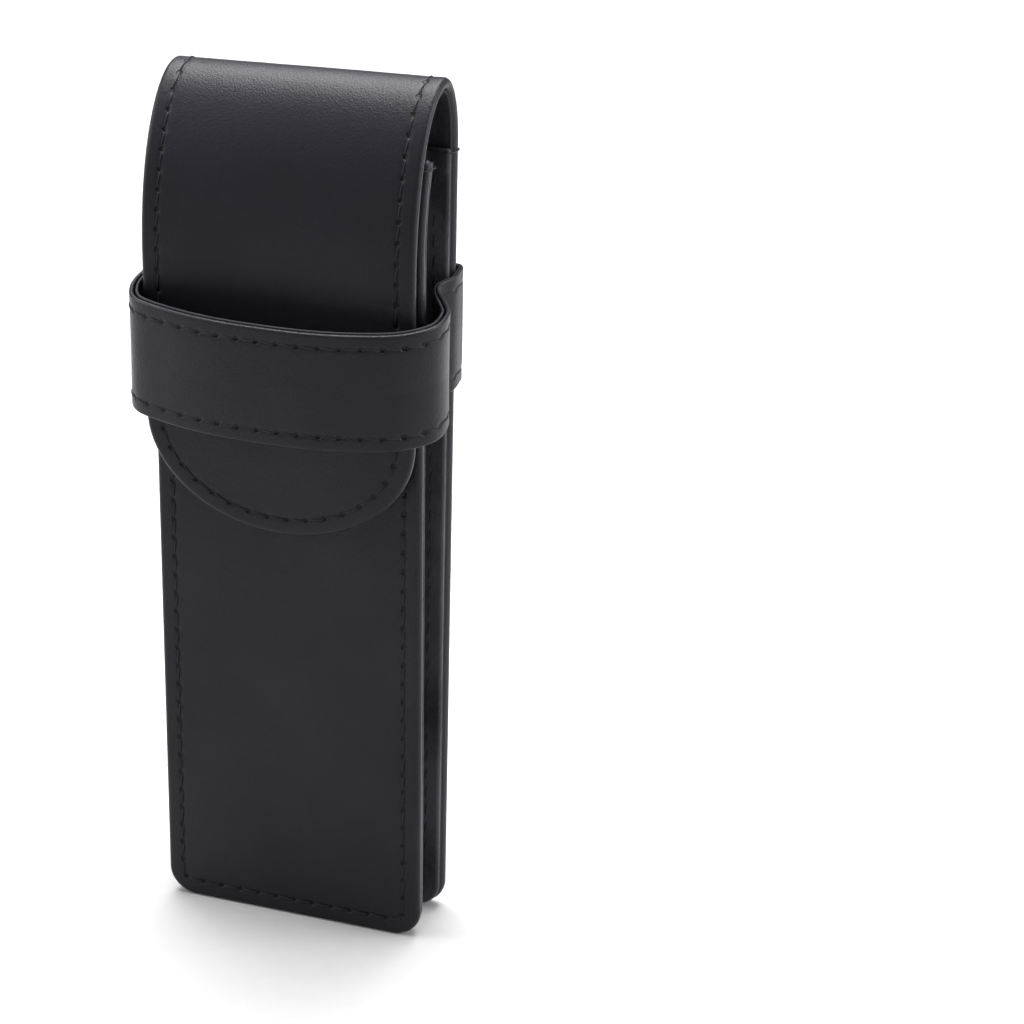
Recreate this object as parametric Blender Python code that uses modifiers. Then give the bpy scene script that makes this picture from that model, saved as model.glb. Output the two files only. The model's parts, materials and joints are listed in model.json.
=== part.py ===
"""Fountain pen case: a slim leather sleeve with a flap whose tongue tucks behind a strap loop.

Two stiffened leather panels are sewn to one recessed gusset that runs down both sides and
across the base. The back panel's leather carries on over the mouth as an arch and comes down
the front as a flap with a rounded tongue. A closed strap loop goes round the back panel,
dips between the panels at each side and bows out in front, and the tongue tucks behind it.

Metres, +Z up. The front faces -Y, and +X is to the right of someone who looks at it.
The origin is the middle of the whole outline, on the surface that the case stands on.
Sheets are described by rows (y, z, half width) measured from the middle plane of the body.
"""

import math

import bmesh
import bpy
from mathutils import Vector

# --- Driving dimensions -----------------------------------------------------------------

BODY_HEIGHT = 0.150        # base to mouth
PANEL_WIDTH = 0.051        # both panels, and the flap
BASE_DEPTH = 0.015         # outside of front panel to outside of back panel, at the base
FULL_DEPTH = 0.018         # the same, for panels that kept straight up to the mouth
CORNER_RADIUS = 0.0052     # lower corners of both panels
FOOT_HEIGHT = 0.006        # the panels stand upright this far, then lean apart
LEAN_HEIGHT = 0.018        # the front panel leans back, under the flap, this far below the mouth
MOUTH_CLEARANCE = 0.00108  # front panel to the inside of the flap, at the mouth

LEATHER = 0.0009           # outer leather
STIFFENER = 0.0006         # board between leather and lining
LINING = 0.0006            # lining of panels and flap
GUSSET = 0.0008            # gusset leather
STRAP_LEATHER = 0.0008
STRAP_LINING = 0.0005
PLY_GAP = 0.0003           # clearance between neighbouring plies
STIFFENER_MARGIN = 0.0012  # the board ends this far inside the edge

ARCH_RISE = 0.0125         # mouth to the top of the arch, outside
ARCH_TOP_Y = 0.0025        # the top of the arch lies this far behind the middle plane
FLAP_STAND = 0.0038        # outside of a straight front panel to the outside of the flap
FLAP_BEND_DROP = 0.020     # the flap hangs straight from this far below the mouth
FLAP_LENGTH = 0.0702       # mouth to the tip of the tongue
TONGUE_ROUND = 0.0202      # height of the rounded end of the tongue
ARCH_LEVEL = 0.0004        # level stretch each side of the top of the arch
HINGE_RISE = 0.0015        # the flap bends about a line this far above the arch

STRAP_WIDTH = 0.0212
STRAP_DROP = 0.0232        # mouth to the upper edge of the strap on the back panel
STRAP_SLOPE = 0.16         # the loop drops this much for each metre that it runs forward
STRAP_BOW = 0.0127         # how far the loop bows out past the front panel
STRAP_BULGE = 0.0030       # how far it bulges past the side of the tongue
STRAP_DIP = 0.0001         # how far inside the panel's side it dips between the panels
STRAP_SIDE_GAP = 0.0006    # strap to the panel's edge, where it turns onto the back
STRAP_BACK_GAP = 0.0010    # room for the back seam between panel and strap

FLANGE_INSET = 0.0006      # edge of the gusset flange to the edge of the panel
FLANGE_WIDTH = 0.0036
FOLD_RADIUS = 0.0022       # gusset fold, on the pocket side
WEB_BOW = 0.0005           # how far the web bows into the pocket
GUSSET_DROP = 0.0010       # the gusset's mouth edge lies this far below the mouth
WEB_CORNER = 0.0025        # smallest corner radius of the gusset, on the pocket side

THREAD_RADIUS = 0.0002
THREAD_GAP = 0.0003        # thread to leather
SEAM_INSET = 0.0032        # seam to the edge of the panel
MOUTH_SEAM_DROP = 0.0035   # seam along the mouth to the mouth
STRAP_SEAM_INSET = 0.0025
SEAM_ARCH_CLEARANCE = 0.0055  # the seams end this far from the top of the arch
BARTACK_DROP = 0.0016      # bartack to the mouth
BARTACK_INSET = 0.0024     # end of the bartack to the edge of the panel

# --- Derived sizes ----------------------------------------------------------------------

HALF_WIDTH = PANEL_WIDTH / 2
STACK = LEATHER + PLY_GAP + STIFFENER + PLY_GAP + LINING
STIFFENER_INSET = LEATHER + PLY_GAP
LINING_INSET = STIFFENER_INSET + STIFFENER + PLY_GAP
STRAP_LINING_INSET = STRAP_LEATHER + PLY_GAP
STRAP_STACK = STRAP_LINING_INSET + STRAP_LINING
THREAD_OFFSET = THREAD_GAP + THREAD_RADIUS
THREAD_REACH = THREAD_GAP + 2 * THREAD_RADIUS
LEAN_START = BODY_HEIGHT - LEAN_HEIGHT
FLAP_FRONT_Y = -FULL_DEPTH / 2 - FLAP_STAND
FLAP_BEND_Z = BODY_HEIGHT - FLAP_BEND_DROP
TONGUE_TIP_Z = BODY_HEIGHT - FLAP_LENGTH
STRAP_TOP_Z = BODY_HEIGHT - STRAP_DROP
ARCH_TOP_Z = BODY_HEIGHT + ARCH_RISE
HINGE_Z = ARCH_TOP_Z + HINGE_RISE
GUSSET_TOP = BODY_HEIGHT - GUSSET_DROP
WEB_INSET = FLANGE_INSET + FLANGE_WIDTH + FOLD_RADIUS
STRAP_MIDDLE_Z = STRAP_TOP_Z - STRAP_WIDTH / 2

CORNER_STEPS = 6
ARCH_STEPS = 8
TONGUE_STEPS = 9
TONGUE_FIRST_ANGLE = math.radians(9)
STRAIGHT_STEPS = 4
LEAN_STEPS = 6
STRAP_STEPS = 4
STRAP_BACK_STEPS = 4
FOLD_STEPS = 4
STRAP_ROUND = ((-0.37, 0.03), (0.0, 0.0), (0.37, 0.03), (0.71, 0.15), (0.98, 0.34))
STRAP_SIDE = ((0.99, 0.69), (1.0, 1.05))


def panel_half_depth(z):
    """Middle plane to the outside of a straight panel at height z."""
    share = max(z - FOOT_HEIGHT, 0.0) / (BODY_HEIGHT - FOOT_HEIGHT)
    return (BASE_DEPTH + (FULL_DEPTH - BASE_DEPTH) * share) / 2


def back_face_y(z):
    return panel_half_depth(z)


def back_arch(angle, inset=0.0):
    """Back quarter of the arch: angle 0 is at the mouth, a right angle at the top."""
    reach = back_face_y(BODY_HEIGHT) - ARCH_TOP_Y - inset
    rise = ARCH_RISE - inset
    return ARCH_TOP_Y + reach * math.cos(angle), BODY_HEIGHT + rise * math.sin(angle)


def front_arch(angle, inset=0.0):
    """Front quarter of the arch: angle 0 is where the flap hangs straight."""
    reach = ARCH_TOP_Y - FLAP_FRONT_Y - inset
    rise = ARCH_TOP_Z - FLAP_BEND_Z - inset
    return ARCH_TOP_Y - reach * math.cos(angle), FLAP_BEND_Z + rise * math.sin(angle)


MOUTH_ANGLE = math.asin(FLAP_BEND_DROP / (ARCH_RISE + FLAP_BEND_DROP - STACK))
MOUTH_FRONT_Y = front_arch(MOUTH_ANGLE, STACK)[0] + MOUTH_CLEARANCE
MOUTH_LEAN = MOUTH_FRONT_Y + panel_half_depth(BODY_HEIGHT)


def front_face_y(z):
    """Outside of the front panel, which curves back under the flap towards the mouth."""
    share = max(z - LEAN_START, 0.0) / LEAN_HEIGHT
    return -panel_half_depth(z) + MOUTH_LEAN * share ** 2


STRAP_BACK_Y = back_face_y(STRAP_MIDDLE_Z) + STRAP_BACK_GAP + STRAP_STACK
STRAP_FRONT_Y = front_face_y(STRAP_MIDDLE_Z) - STRAP_BOW
BODY_Y = -(STRAP_FRONT_Y + STRAP_BACK_Y) / 2   # the body's middle plane in the world


# --- Scene and materials ----------------------------------------------------------------


def clear_scene():
    for obj in list(bpy.data.objects):
        bpy.data.objects.remove(obj, do_unlink=True)


def make_material(name, colour, roughness):
    material = bpy.data.materials.new(name)
    material.use_nodes = True
    shader = material.node_tree.nodes["Principled BSDF"]
    shader.inputs["Base Color"].default_value = (*colour, 1.0)
    shader.inputs["Roughness"].default_value = roughness
    shader.inputs["Metallic"].default_value = 0.0
    material.diffuse_color = (*colour, 1.0)
    return material


def add_empty(name, collection, location, parent=None):
    empty = bpy.data.objects.new(name, None)
    empty.location = location
    empty.empty_display_size = 0.01
    collection.objects.link(empty)
    empty.parent = parent
    return empty


def place(obj, collection, parent):
    """Links an object modelled in the body's frame and parents it where it stands."""
    collection.objects.link(obj)
    obj.parent = parent
    offset = Vector((0.0, 0.0, 0.0))
    while parent.parent:
        offset += parent.location
        parent = parent.parent
    obj.location = -offset
    return obj


# --- Paths ------------------------------------------------------------------------------


def climb(low, top):
    """Heights from low to top, closer together where the front panel leans."""
    straight = [low + (LEAN_START - low) * n / STRAIGHT_STEPS for n in range(STRAIGHT_STEPS)]
    return straight + [LEAN_START + (top - LEAN_START) * n / LEAN_STEPS
                       for n in range(LEAN_STEPS + 1)]


def panel_rows(face_y, top, margin=0.0):
    """Rows of a panel from its base to its top, round the lower corners first."""
    rows = []
    for step in range(CORNER_STEPS + 1):
        angle = math.pi / 2 * step / CORNER_STEPS
        z = CORNER_RADIUS * (1 - math.cos(angle))
        if z >= margin / 2:
            half = HALF_WIDTH - CORNER_RADIUS * (1 - math.sin(angle))
            rows.append((face_y(z), z, half - margin))
    return rows + [(face_y(z), z, HALF_WIDTH - margin) for z in climb(CORNER_RADIUS, top)[1:]]


def arch_rows(arch, side, inset):
    """Rows of a quarter arch, level at the top and ending just short of the top plane."""
    points = [arch(math.pi / 2 * step / ARCH_STEPS, inset) for step in range(1, ARCH_STEPS)]
    for reach in (PLY_GAP / 2 + ARCH_LEVEL, PLY_GAP / 2):
        points.append((ARCH_TOP_Y + side * reach, ARCH_TOP_Z - inset))
    return [(y, z, HALF_WIDTH) for y, z in points]


def back_rows(inset, top=BODY_HEIGHT, margin=0.0):
    """The back panel from its base to its top, inset from its outside."""
    return panel_rows(lambda z: back_face_y(z) - inset, top, margin)


def front_rows(inset, top=BODY_HEIGHT, margin=0.0):
    """The front panel from its base to its top, inset from its outside."""
    return panel_rows(lambda z: front_face_y(z) + inset, top, margin)


def tongue_y(z):
    """Outside of the hanging part of the flap, which leans in to its tip."""
    share = (z - TONGUE_TIP_Z) / (FLAP_BEND_Z - TONGUE_TIP_Z)
    tip_y = -panel_half_depth(TONGUE_TIP_Z) - FLAP_STAND
    return tip_y + (FLAP_FRONT_Y - tip_y) * share


def tongue_edge(angle, margin=0.0):
    """Height and half width of the elliptical tongue end, shrunk by margin."""
    z = TONGUE_TIP_Z + TONGUE_ROUND - (TONGUE_ROUND - margin) * math.cos(angle)
    return z, (HALF_WIDTH - margin) * math.sin(angle)


def hanging_rows(inset, margin=0.0):
    """The straight part of the flap, from the tip of its tongue to where it starts to bend."""
    rows = []
    for step in range(TONGUE_STEPS + 1):
        turned = step / TONGUE_STEPS
        angle = TONGUE_FIRST_ANGLE + (math.pi / 2 - TONGUE_FIRST_ANGLE) * turned
        z, half = tongue_edge(angle, margin)
        rows.append((tongue_y(z) + inset, z, half))
    return rows + [(FLAP_FRONT_Y + inset, FLAP_BEND_Z, HALF_WIDTH - margin)]


# --- Strap ------------------------------------------------------------------------------


def smooth_curve(points, steps):
    """A Catmull-Rom curve through the points, with steps stretches between neighbours."""
    curve = []
    for index in range(1, len(points) - 2):
        before, start, end, after = (Vector(p) for p in points[index - 1:index + 3])
        for step in range(steps):
            t = step / steps
            curve.append(
                0.5 * (2 * start + (end - before) * t
                       + (2 * before - 5 * start + 4 * end - after) * t ** 2
                       + (3 * start - before - 3 * end + after) * t ** 3)
            )
    curve.append(Vector(points[-2]))
    return [tuple(point) for point in curve]


def strap_path():
    """The outside of the loop as a closed path (x, y), from the front round the right side.

    STRAP_ROUND gives the bow as shares of the half width and of the bow's depth, STRAP_SIDE
    gives the bulge as shares of the bulge's half width and of the same depth.
    """
    side = HALF_WIDTH + STRAP_BULGE
    lap = HALF_WIDTH + STRAP_STACK + STRAP_SIDE_GAP
    front = STRAP_FRONT_Y
    flange = back_face_y(STRAP_MIDDLE_Z) - STACK - PLY_GAP - GUSSET
    corner = STRAP_STACK + STRAP_SIDE_GAP      # outside radius of the turn onto the back
    turn_y = STRAP_BACK_Y - corner
    side_points = [(across * HALF_WIDTH, front + deep * STRAP_BOW) for across, deep in STRAP_ROUND]
    side_points += [(across * side, front + deep * STRAP_BOW) for across, deep in STRAP_SIDE]
    side_points += [
        (lap, -flange),
        (HALF_WIDTH - STRAP_DIP, 0.0),
        (lap, flange),
        (lap, turn_y),
        (lap, turn_y + corner),
    ]
    right = smooth_curve(side_points, STRAP_STEPS)
    for step in range(1, CORNER_STEPS + 1):
        angle = math.pi / 2 * step / CORNER_STEPS
        right.append((lap - corner * (1 - math.cos(angle)), turn_y + corner * math.sin(angle)))
    for step in range(STRAP_BACK_STEPS - 1, 0, -1):
        right.append((step / STRAP_BACK_STEPS * HALF_WIDTH, STRAP_BACK_Y))
    left = [(-x, y) for x, y in reversed(right[1:])]
    return right + [(0.0, STRAP_BACK_Y)] + left


def closed_shift(path, distance):
    """Moves a closed path inwards, keeping its start."""
    count = len(path)
    moved = []
    for index, point in enumerate(path):
        ahead = Vector(path[(index + 1) % count]) - Vector(path[index - 1])
        ahead.normalize()
        moved.append((point[0] - ahead.y * distance, point[1] + ahead.x * distance))
    return moved


def strap_z(y, drop):
    """Height of the strap at depth y, a distance drop below its upper edge."""
    return STRAP_TOP_Z - drop + STRAP_SLOPE * (y - FULL_DEPTH / 2)


def make_strap(name, inset, thickness, material):
    """One ply of the closed strap loop, inset from the outside of the loop."""
    path = closed_shift(strap_path(), inset)
    mesh = bpy.data.meshes.new(name)
    shape = bmesh.new()
    upper = [shape.verts.new((x, y, strap_z(y, 0.0))) for x, y in path]
    edges = [shape.edges.new((upper[i - 1], upper[i])) for i in range(len(upper))]
    swept = bmesh.ops.extrude_edge_only(shape, edges=edges)["geom"]
    lower = [item for item in swept if isinstance(item, bmesh.types.BMVert)]
    bmesh.ops.translate(shape, verts=lower, vec=(0.0, 0.0, -STRAP_WIDTH))
    return finish_sheet(name, mesh, shape, thickness, material, away_from_axis)


# --- Solids -----------------------------------------------------------------------------


def away_from_axis(face):
    """How far a face of a loop looks away from the loop's middle."""
    centre = face.calc_center_median()
    return face.normal.x * centre.x + face.normal.y * centre.y


def into_pocket(face):
    """How far a face of the gusset looks into the pocket."""
    return face.normal.dot(Vector((0.0, 0.0, BODY_HEIGHT / 2)) - face.calc_center_median())


def finish_sheet(name, mesh, shape, thickness, material, outwardness):
    """Turns the open surface to face outward on the whole, and thickens it inward."""
    bmesh.ops.recalc_face_normals(shape, faces=shape.faces)
    if sum(face.calc_area() * outwardness(face) for face in shape.faces) < 0:
        bmesh.ops.reverse_faces(shape, faces=shape.faces)
    shape.to_mesh(mesh)
    shape.free()
    mesh.materials.append(material)
    mesh.shade_smooth()
    mesh.set_sharp_from_angle(angle=math.radians(35))
    obj = bpy.data.objects.new(name, mesh)
    solidify = obj.modifiers.new("thickness", "SOLIDIFY")
    solidify.thickness = thickness
    solidify.offset = -1.0
    solidify.use_even_offset = True
    return obj


def make_grid_sheet(name, grid, thickness, material, outwardness):
    """A sheet over a grid of points, given as rows of equal length."""
    shape = bmesh.new()
    columns = len(grid[0]) - 1
    bmesh.ops.create_grid(shape, x_segments=columns, y_segments=len(grid) - 1, size=1.0)
    for vertex in shape.verts:
        column = round((vertex.co.x + 1) / 2 * columns)
        row = round((vertex.co.y + 1) / 2 * (len(grid) - 1))
        vertex.co = grid[row][column]
    mesh = bpy.data.meshes.new(name)
    return finish_sheet(name, mesh, shape, thickness, material, outwardness)


def make_sheet(name, rows, thickness, material, outside):
    """A ply whose rows run straight across; outside is the y direction of its outer face."""
    grid = [[(-half, y, z), (half, y, z)] for y, z, half in rows]
    return make_grid_sheet(
        name, grid, thickness, material, lambda face: face.normal.y * outside
    )


def make_thread(name, points, material, closed=False):
    """A thread along the given points."""
    curve = bpy.data.curves.new(name, "CURVE")
    curve.dimensions = "3D"
    curve.bevel_depth = THREAD_RADIUS
    curve.bevel_resolution = 1
    curve.use_fill_caps = not closed
    spline = curve.splines.new("POLY")
    spline.points.add(len(points) - 1)
    for point, place_at in zip(spline.points, points):
        point.co = (*place_at, 1.0)
    spline.use_cyclic_u = closed
    curve.materials.append(material)
    return bpy.data.objects.new(name, curve)


# --- Gusset -----------------------------------------------------------------------------


def gusset_walls(z):
    """The y of the gusset's outer faces on the front and on the back lining at height z."""
    clear = STACK + PLY_GAP
    return front_face_y(z) + clear, back_face_y(z) - clear


def u_path(inset):
    """Points (x, z) down the left side, along the base and up the right, inset all round."""
    radius = max(CORNER_RADIUS - inset, WEB_CORNER)
    side = HALF_WIDTH - inset
    reach = side - radius
    left = [(-side, z) for z in reversed(climb(2 * CORNER_RADIUS, GUSSET_TOP))]
    for step in range(CORNER_STEPS + 1):
        angle = math.pi / 2 * step / CORNER_STEPS
        left.append((-reach - radius * math.cos(angle), inset + radius * (1 - math.sin(angle))))
    return left + [(-x, z) for x, z in reversed(left)]


def gusset_section(offset=0.0):
    """Half of the section from the front panel to the middle: (inset, distance from wall).

    The flange lies on the panel, a quarter fold turns it, and the web crosses to the middle.
    offset moves the section from the pocket side towards the recess.
    """
    start = FLANGE_INSET
    end = FLANGE_INSET + FLANGE_WIDTH
    section = [(start, offset), ((start + end) / 2, offset)]
    for step in range(FOLD_STEPS + 1):
        angle = math.pi / 2 * step / FOLD_STEPS
        reach = FOLD_RADIUS - offset
        section.append((end + reach * math.sin(angle), FOLD_RADIUS - reach * math.cos(angle)))
    return section


def gusset_point(x, z, inset, distance, from_back):
    front, back = gusset_walls(z)
    if from_back:
        return x, back - distance, z
    return x, front + distance, z


def make_gusset(material):
    """One strip with a channel section, carried round the U of the two panels."""
    section = gusset_section()
    columns = [(inset, distance, False) for inset, distance in section]
    columns.append((WEB_INSET + WEB_BOW, None, None))
    columns += [(inset, distance, True) for inset, distance in reversed(section)]
    sides = []
    for inset, distance, from_back in columns:
        line = []
        for x, z in u_path(inset):
            if distance is None:
                front, back = gusset_walls(z)
                line.append((x, (front + back) / 2, z))
            else:
                line.append(gusset_point(x, z, inset, distance, from_back))
        sides.append(line)
    grid = [list(row) for row in zip(*sides)]
    return make_grid_sheet("gusset", grid, GUSSET, material, into_pocket)


# --- Seams ------------------------------------------------------------------------------


def seam_u(inset, top):
    """Points (x, z) of a seam that runs parallel to the panel's edge, open at the top."""
    radius = CORNER_RADIUS - inset
    side = HALF_WIDTH - inset
    left = [(-side, z) for z in reversed(climb(CORNER_RADIUS, top)[1:])]
    for step in range(CORNER_STEPS + 1):
        angle = math.pi / 2 * step / CORNER_STEPS
        x = -(side - radius) - radius * math.cos(angle)
        left.append((x, inset + radius * (1 - math.sin(angle))))
    return left + [(-x, z) for x, z in reversed(left)]


def front_seam():
    top = BODY_HEIGHT - MOUTH_SEAM_DROP
    return [(x, front_face_y(z) - THREAD_OFFSET, z) for x, z in seam_u(SEAM_INSET, top)]


def mouth_seam():
    z = BODY_HEIGHT - MOUTH_SEAM_DROP
    end = HALF_WIDTH - SEAM_INSET - THREAD_REACH
    y = front_face_y(z) - THREAD_OFFSET
    return [(-end, y, z), (end, y, z)]


def arch_seam(arch):
    """Points (y, z) outside a quarter arch, ending clear of the top."""
    steps = 3 * ARCH_STEPS
    points = [arch(math.pi / 2 * step / steps, -THREAD_OFFSET) for step in range(steps)]
    return [point for point in points if abs(point[0] - ARCH_TOP_Y) > SEAM_ARCH_CLEARANCE]


def back_seam():
    """Round the back panel and up both sides of the arch."""
    side = HALF_WIDTH - SEAM_INSET
    panel = seam_u(SEAM_INSET, BODY_HEIGHT - THREAD_REACH)
    points = [(x, back_face_y(z) + THREAD_OFFSET, z) for x, z in panel]
    arch = arch_seam(back_arch)
    left = [(-side, y, z) for y, z in reversed(arch)]
    right = [(side, y, z) for y, z in arch]
    return left + points + right


def flap_seam():
    """Down one side of the flap, round the tongue and up the other side."""
    side = HALF_WIDTH - SEAM_INSET
    arch = arch_seam(front_arch)
    left = [(-side, y, z) for y, z in reversed(arch)]
    right = [(side, y, z) for y, z in arch]
    round_end = []
    steps = 2 * TONGUE_STEPS
    for step in range(1, 2 * steps):
        angle = math.pi / 2 * (step / steps - 1)
        z, half = tongue_edge(abs(angle), SEAM_INSET)
        round_end.append((math.copysign(half, angle), tongue_y(z) - THREAD_OFFSET, z))
    return left + round_end + right


def flange_seam(on_back):
    """The lower thread of a panel seam, lying on the gusset's flange."""
    distance = GUSSET + THREAD_OFFSET
    top = BODY_HEIGHT - MOUTH_SEAM_DROP
    return [
        gusset_point(x, z, SEAM_INSET, distance, on_back) for x, z in seam_u(SEAM_INSET, top)
    ]


def gusset_mouth_seam(side):
    """Across the gusset's web below its mouth edge, on the recess side."""
    z = BODY_HEIGHT - MOUTH_SEAM_DROP
    section = gusset_section(GUSSET + THREAD_OFFSET)[2:]
    front = [gusset_point(side * (HALF_WIDTH - i), z, i, d, False) for i, d in section]
    back = [gusset_point(side * (HALF_WIDTH - i), z, i, d, True) for i, d in section]
    return front[1:] + back[:0:-1]


def bartack(side, on_back):
    """A thread over the panel's edge at the mouth, from the outside to the flange."""
    z = BODY_HEIGHT - BARTACK_DROP
    front, back = gusset_walls(z)
    outer = back_face_y(z) + THREAD_OFFSET if on_back else front_face_y(z) - THREAD_OFFSET
    inward = -1.0 if on_back else 1.0
    inner = (back if on_back else front) + inward * (GUSSET + THREAD_OFFSET)
    start = HALF_WIDTH - BARTACK_INSET
    edge = HALF_WIDTH + THREAD_OFFSET
    turn = THREAD_OFFSET
    corners = [
        (start, outer), (edge - turn, outer), (edge, outer + inward * turn),
        (edge, inner - inward * turn), (edge - turn, inner), (start, inner),
    ]
    return [(side * x, y, z) for x, y in corners]


def strap_seam(drop):
    path = closed_shift(strap_path(), -THREAD_OFFSET)
    return [(x, y, strap_z(y, drop)) for x, y in path]


# --- Assembly ---------------------------------------------------------------------------


def build_panels(leather, board, lining):
    board_top = BODY_HEIGHT - STIFFENER_MARGIN
    board_front = front_rows(STIFFENER_INSET, board_top, STIFFENER_MARGIN)
    board_back = back_rows(STIFFENER_INSET, board_top, STIFFENER_MARGIN)
    outside_back = back_rows(0.0) + arch_rows(back_arch, 1, 0.0)
    inside_back = back_rows(LINING_INSET) + arch_rows(back_arch, 1, LINING_INSET)
    return [
        make_sheet("front_panel_leather", front_rows(0.0), LEATHER, leather, -1),
        make_sheet("front_panel_stiffener", board_front, STIFFENER, board, -1),
        make_sheet("front_panel_lining", front_rows(LINING_INSET), LINING, lining, -1),
        make_sheet("back_panel_leather", outside_back, LEATHER, leather, 1),
        make_sheet("back_panel_stiffener", board_back, STIFFENER, board, 1),
        make_sheet("back_panel_lining", inside_back, LINING, lining, 1),
    ]


def build_flap(leather, board, lining, thread):
    outside = hanging_rows(0.0) + arch_rows(front_arch, -1, 0.0)
    inside = hanging_rows(LINING_INSET) + arch_rows(front_arch, -1, LINING_INSET)
    middle = hanging_rows(STIFFENER_INSET, STIFFENER_MARGIN)
    return [
        make_sheet("flap_leather", outside, LEATHER, leather, -1),
        make_sheet("flap_stiffener", middle, STIFFENER, board, -1),
        make_sheet("flap_lining", inside, LINING, lining, -1),
        make_thread("flap_seam_thread", flap_seam(), thread),
    ]


def build_strap(leather, lining, thread):
    return [
        make_strap("strap_leather", 0.0, STRAP_LEATHER, leather),
        make_strap("strap_lining", STRAP_LINING_INSET, STRAP_LINING, lining),
        make_thread("strap_upper_thread", strap_seam(STRAP_SEAM_INSET), thread, closed=True),
        make_thread("strap_lower_thread", strap_seam(STRAP_WIDTH - STRAP_SEAM_INSET), thread,
                    closed=True),
    ]


def build_body_threads(thread):
    threads = [
        make_thread("front_seam_thread", front_seam(), thread),
        make_thread("front_mouth_thread", mouth_seam(), thread),
        make_thread("back_seam_thread", back_seam(), thread),
        make_thread("front_flange_thread", flange_seam(False), thread),
        make_thread("back_flange_thread", flange_seam(True), thread),
    ]
    for side, word in ((-1, "left"), (1, "right")):
        threads += [
            make_thread(f"{word}_gusset_mouth_thread", gusset_mouth_seam(side), thread),
            make_thread(f"front_{word}_bartack", bartack(side, False), thread),
            make_thread(f"back_{word}_bartack", bartack(side, True), thread),
        ]
    return threads


def main():
    clear_scene()
    parts = bpy.data.collections.new("fountain_pen_case")
    bpy.context.scene.collection.children.link(parts)

    leather = make_material("black_leather", (0.020, 0.020, 0.023), 0.50)
    lining = make_material("lining_leather", (0.028, 0.028, 0.031), 0.62)
    board = make_material("fibre_board", (0.20, 0.18, 0.15), 0.90)
    thread = make_material("black_thread", (0.008, 0.008, 0.009), 0.75)

    body = add_empty("case_body", parts, (0.0, BODY_Y, 0.0))
    hinge = add_empty("flap_bend_line", parts, (0.0, ARCH_TOP_Y, HINGE_Z), body)

    case = build_panels(leather, board, lining) + [make_gusset(lining)]
    case += build_strap(leather, lining, thread) + build_body_threads(thread)
    for obj in case:
        place(obj, parts, body)
    for obj in build_flap(leather, board, lining, thread):
        place(obj, parts, hinge)


main()
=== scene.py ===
"""Fountain pen case in black leather, laid out as a Blender add-on and run as a script.

A slim sleeve of two sewn panels and a gusset. The back panel's leather carries on over the
mouth and comes down the front as a flap, whose round tongue tucks behind a strap loop.
The front faces -Y, +Z is up, and all lengths are in metres.
"""

import json
import math

import bpy
import numpy as np
from bpy.props import FloatProperty, PointerProperty, StringProperty
from bpy.types import Operator, Panel, PropertyGroup
from mathutils import Euler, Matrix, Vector


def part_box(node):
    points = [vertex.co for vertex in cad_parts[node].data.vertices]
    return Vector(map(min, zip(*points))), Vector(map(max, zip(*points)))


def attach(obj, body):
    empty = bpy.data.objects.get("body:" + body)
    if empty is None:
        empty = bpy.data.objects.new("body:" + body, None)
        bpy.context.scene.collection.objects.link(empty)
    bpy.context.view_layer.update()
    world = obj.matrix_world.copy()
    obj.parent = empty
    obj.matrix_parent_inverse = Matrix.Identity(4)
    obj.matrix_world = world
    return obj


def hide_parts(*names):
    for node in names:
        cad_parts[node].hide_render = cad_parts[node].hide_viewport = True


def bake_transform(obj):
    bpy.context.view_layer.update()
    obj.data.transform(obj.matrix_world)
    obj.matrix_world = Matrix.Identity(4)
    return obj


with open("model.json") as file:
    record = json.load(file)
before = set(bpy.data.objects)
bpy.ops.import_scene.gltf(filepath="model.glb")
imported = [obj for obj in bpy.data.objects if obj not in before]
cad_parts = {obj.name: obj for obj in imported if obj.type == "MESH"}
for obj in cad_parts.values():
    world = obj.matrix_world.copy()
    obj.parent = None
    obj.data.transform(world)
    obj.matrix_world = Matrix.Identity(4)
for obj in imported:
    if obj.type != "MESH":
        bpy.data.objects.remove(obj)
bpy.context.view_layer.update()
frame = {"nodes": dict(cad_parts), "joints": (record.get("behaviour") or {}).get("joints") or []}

bl_info = {
    "name": "Fountain Pen Case",
    "version": (1, 0, 0),
    "blender": (4, 5, 0),
    "location": "3D View > Sidebar > Pen Case",
    "description": "Builds a sewn leather fountain pen case round its CAD parts",
    "category": "Object",
}

MM = 0.001
NO_SEAM = 9 * MM           # distance from the seam, where a face has none
FACE_INSET = 6.0 * MM      # the rings round a sheet's edge end here, and the flat fill begins
PANEL_LOW, PANEL_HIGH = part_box("front_panel_leather")
ARCH_TOP_Y = 0.0025        # the top of the arch lies this far behind the body's middle plane
BODY_Y = frame["joints"][0]["pos_m"][1] - ARCH_TOP_Y


def length_property(name, description, millimetres):
    return FloatProperty(name=name, description=description, default=millimetres * MM, min=0.0,
                         unit="LENGTH", subtype="DISTANCE", precision=5)


def colour_property(name, description, hex_value):
    return StringProperty(name=name, description=description, default=hex_value)


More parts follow.
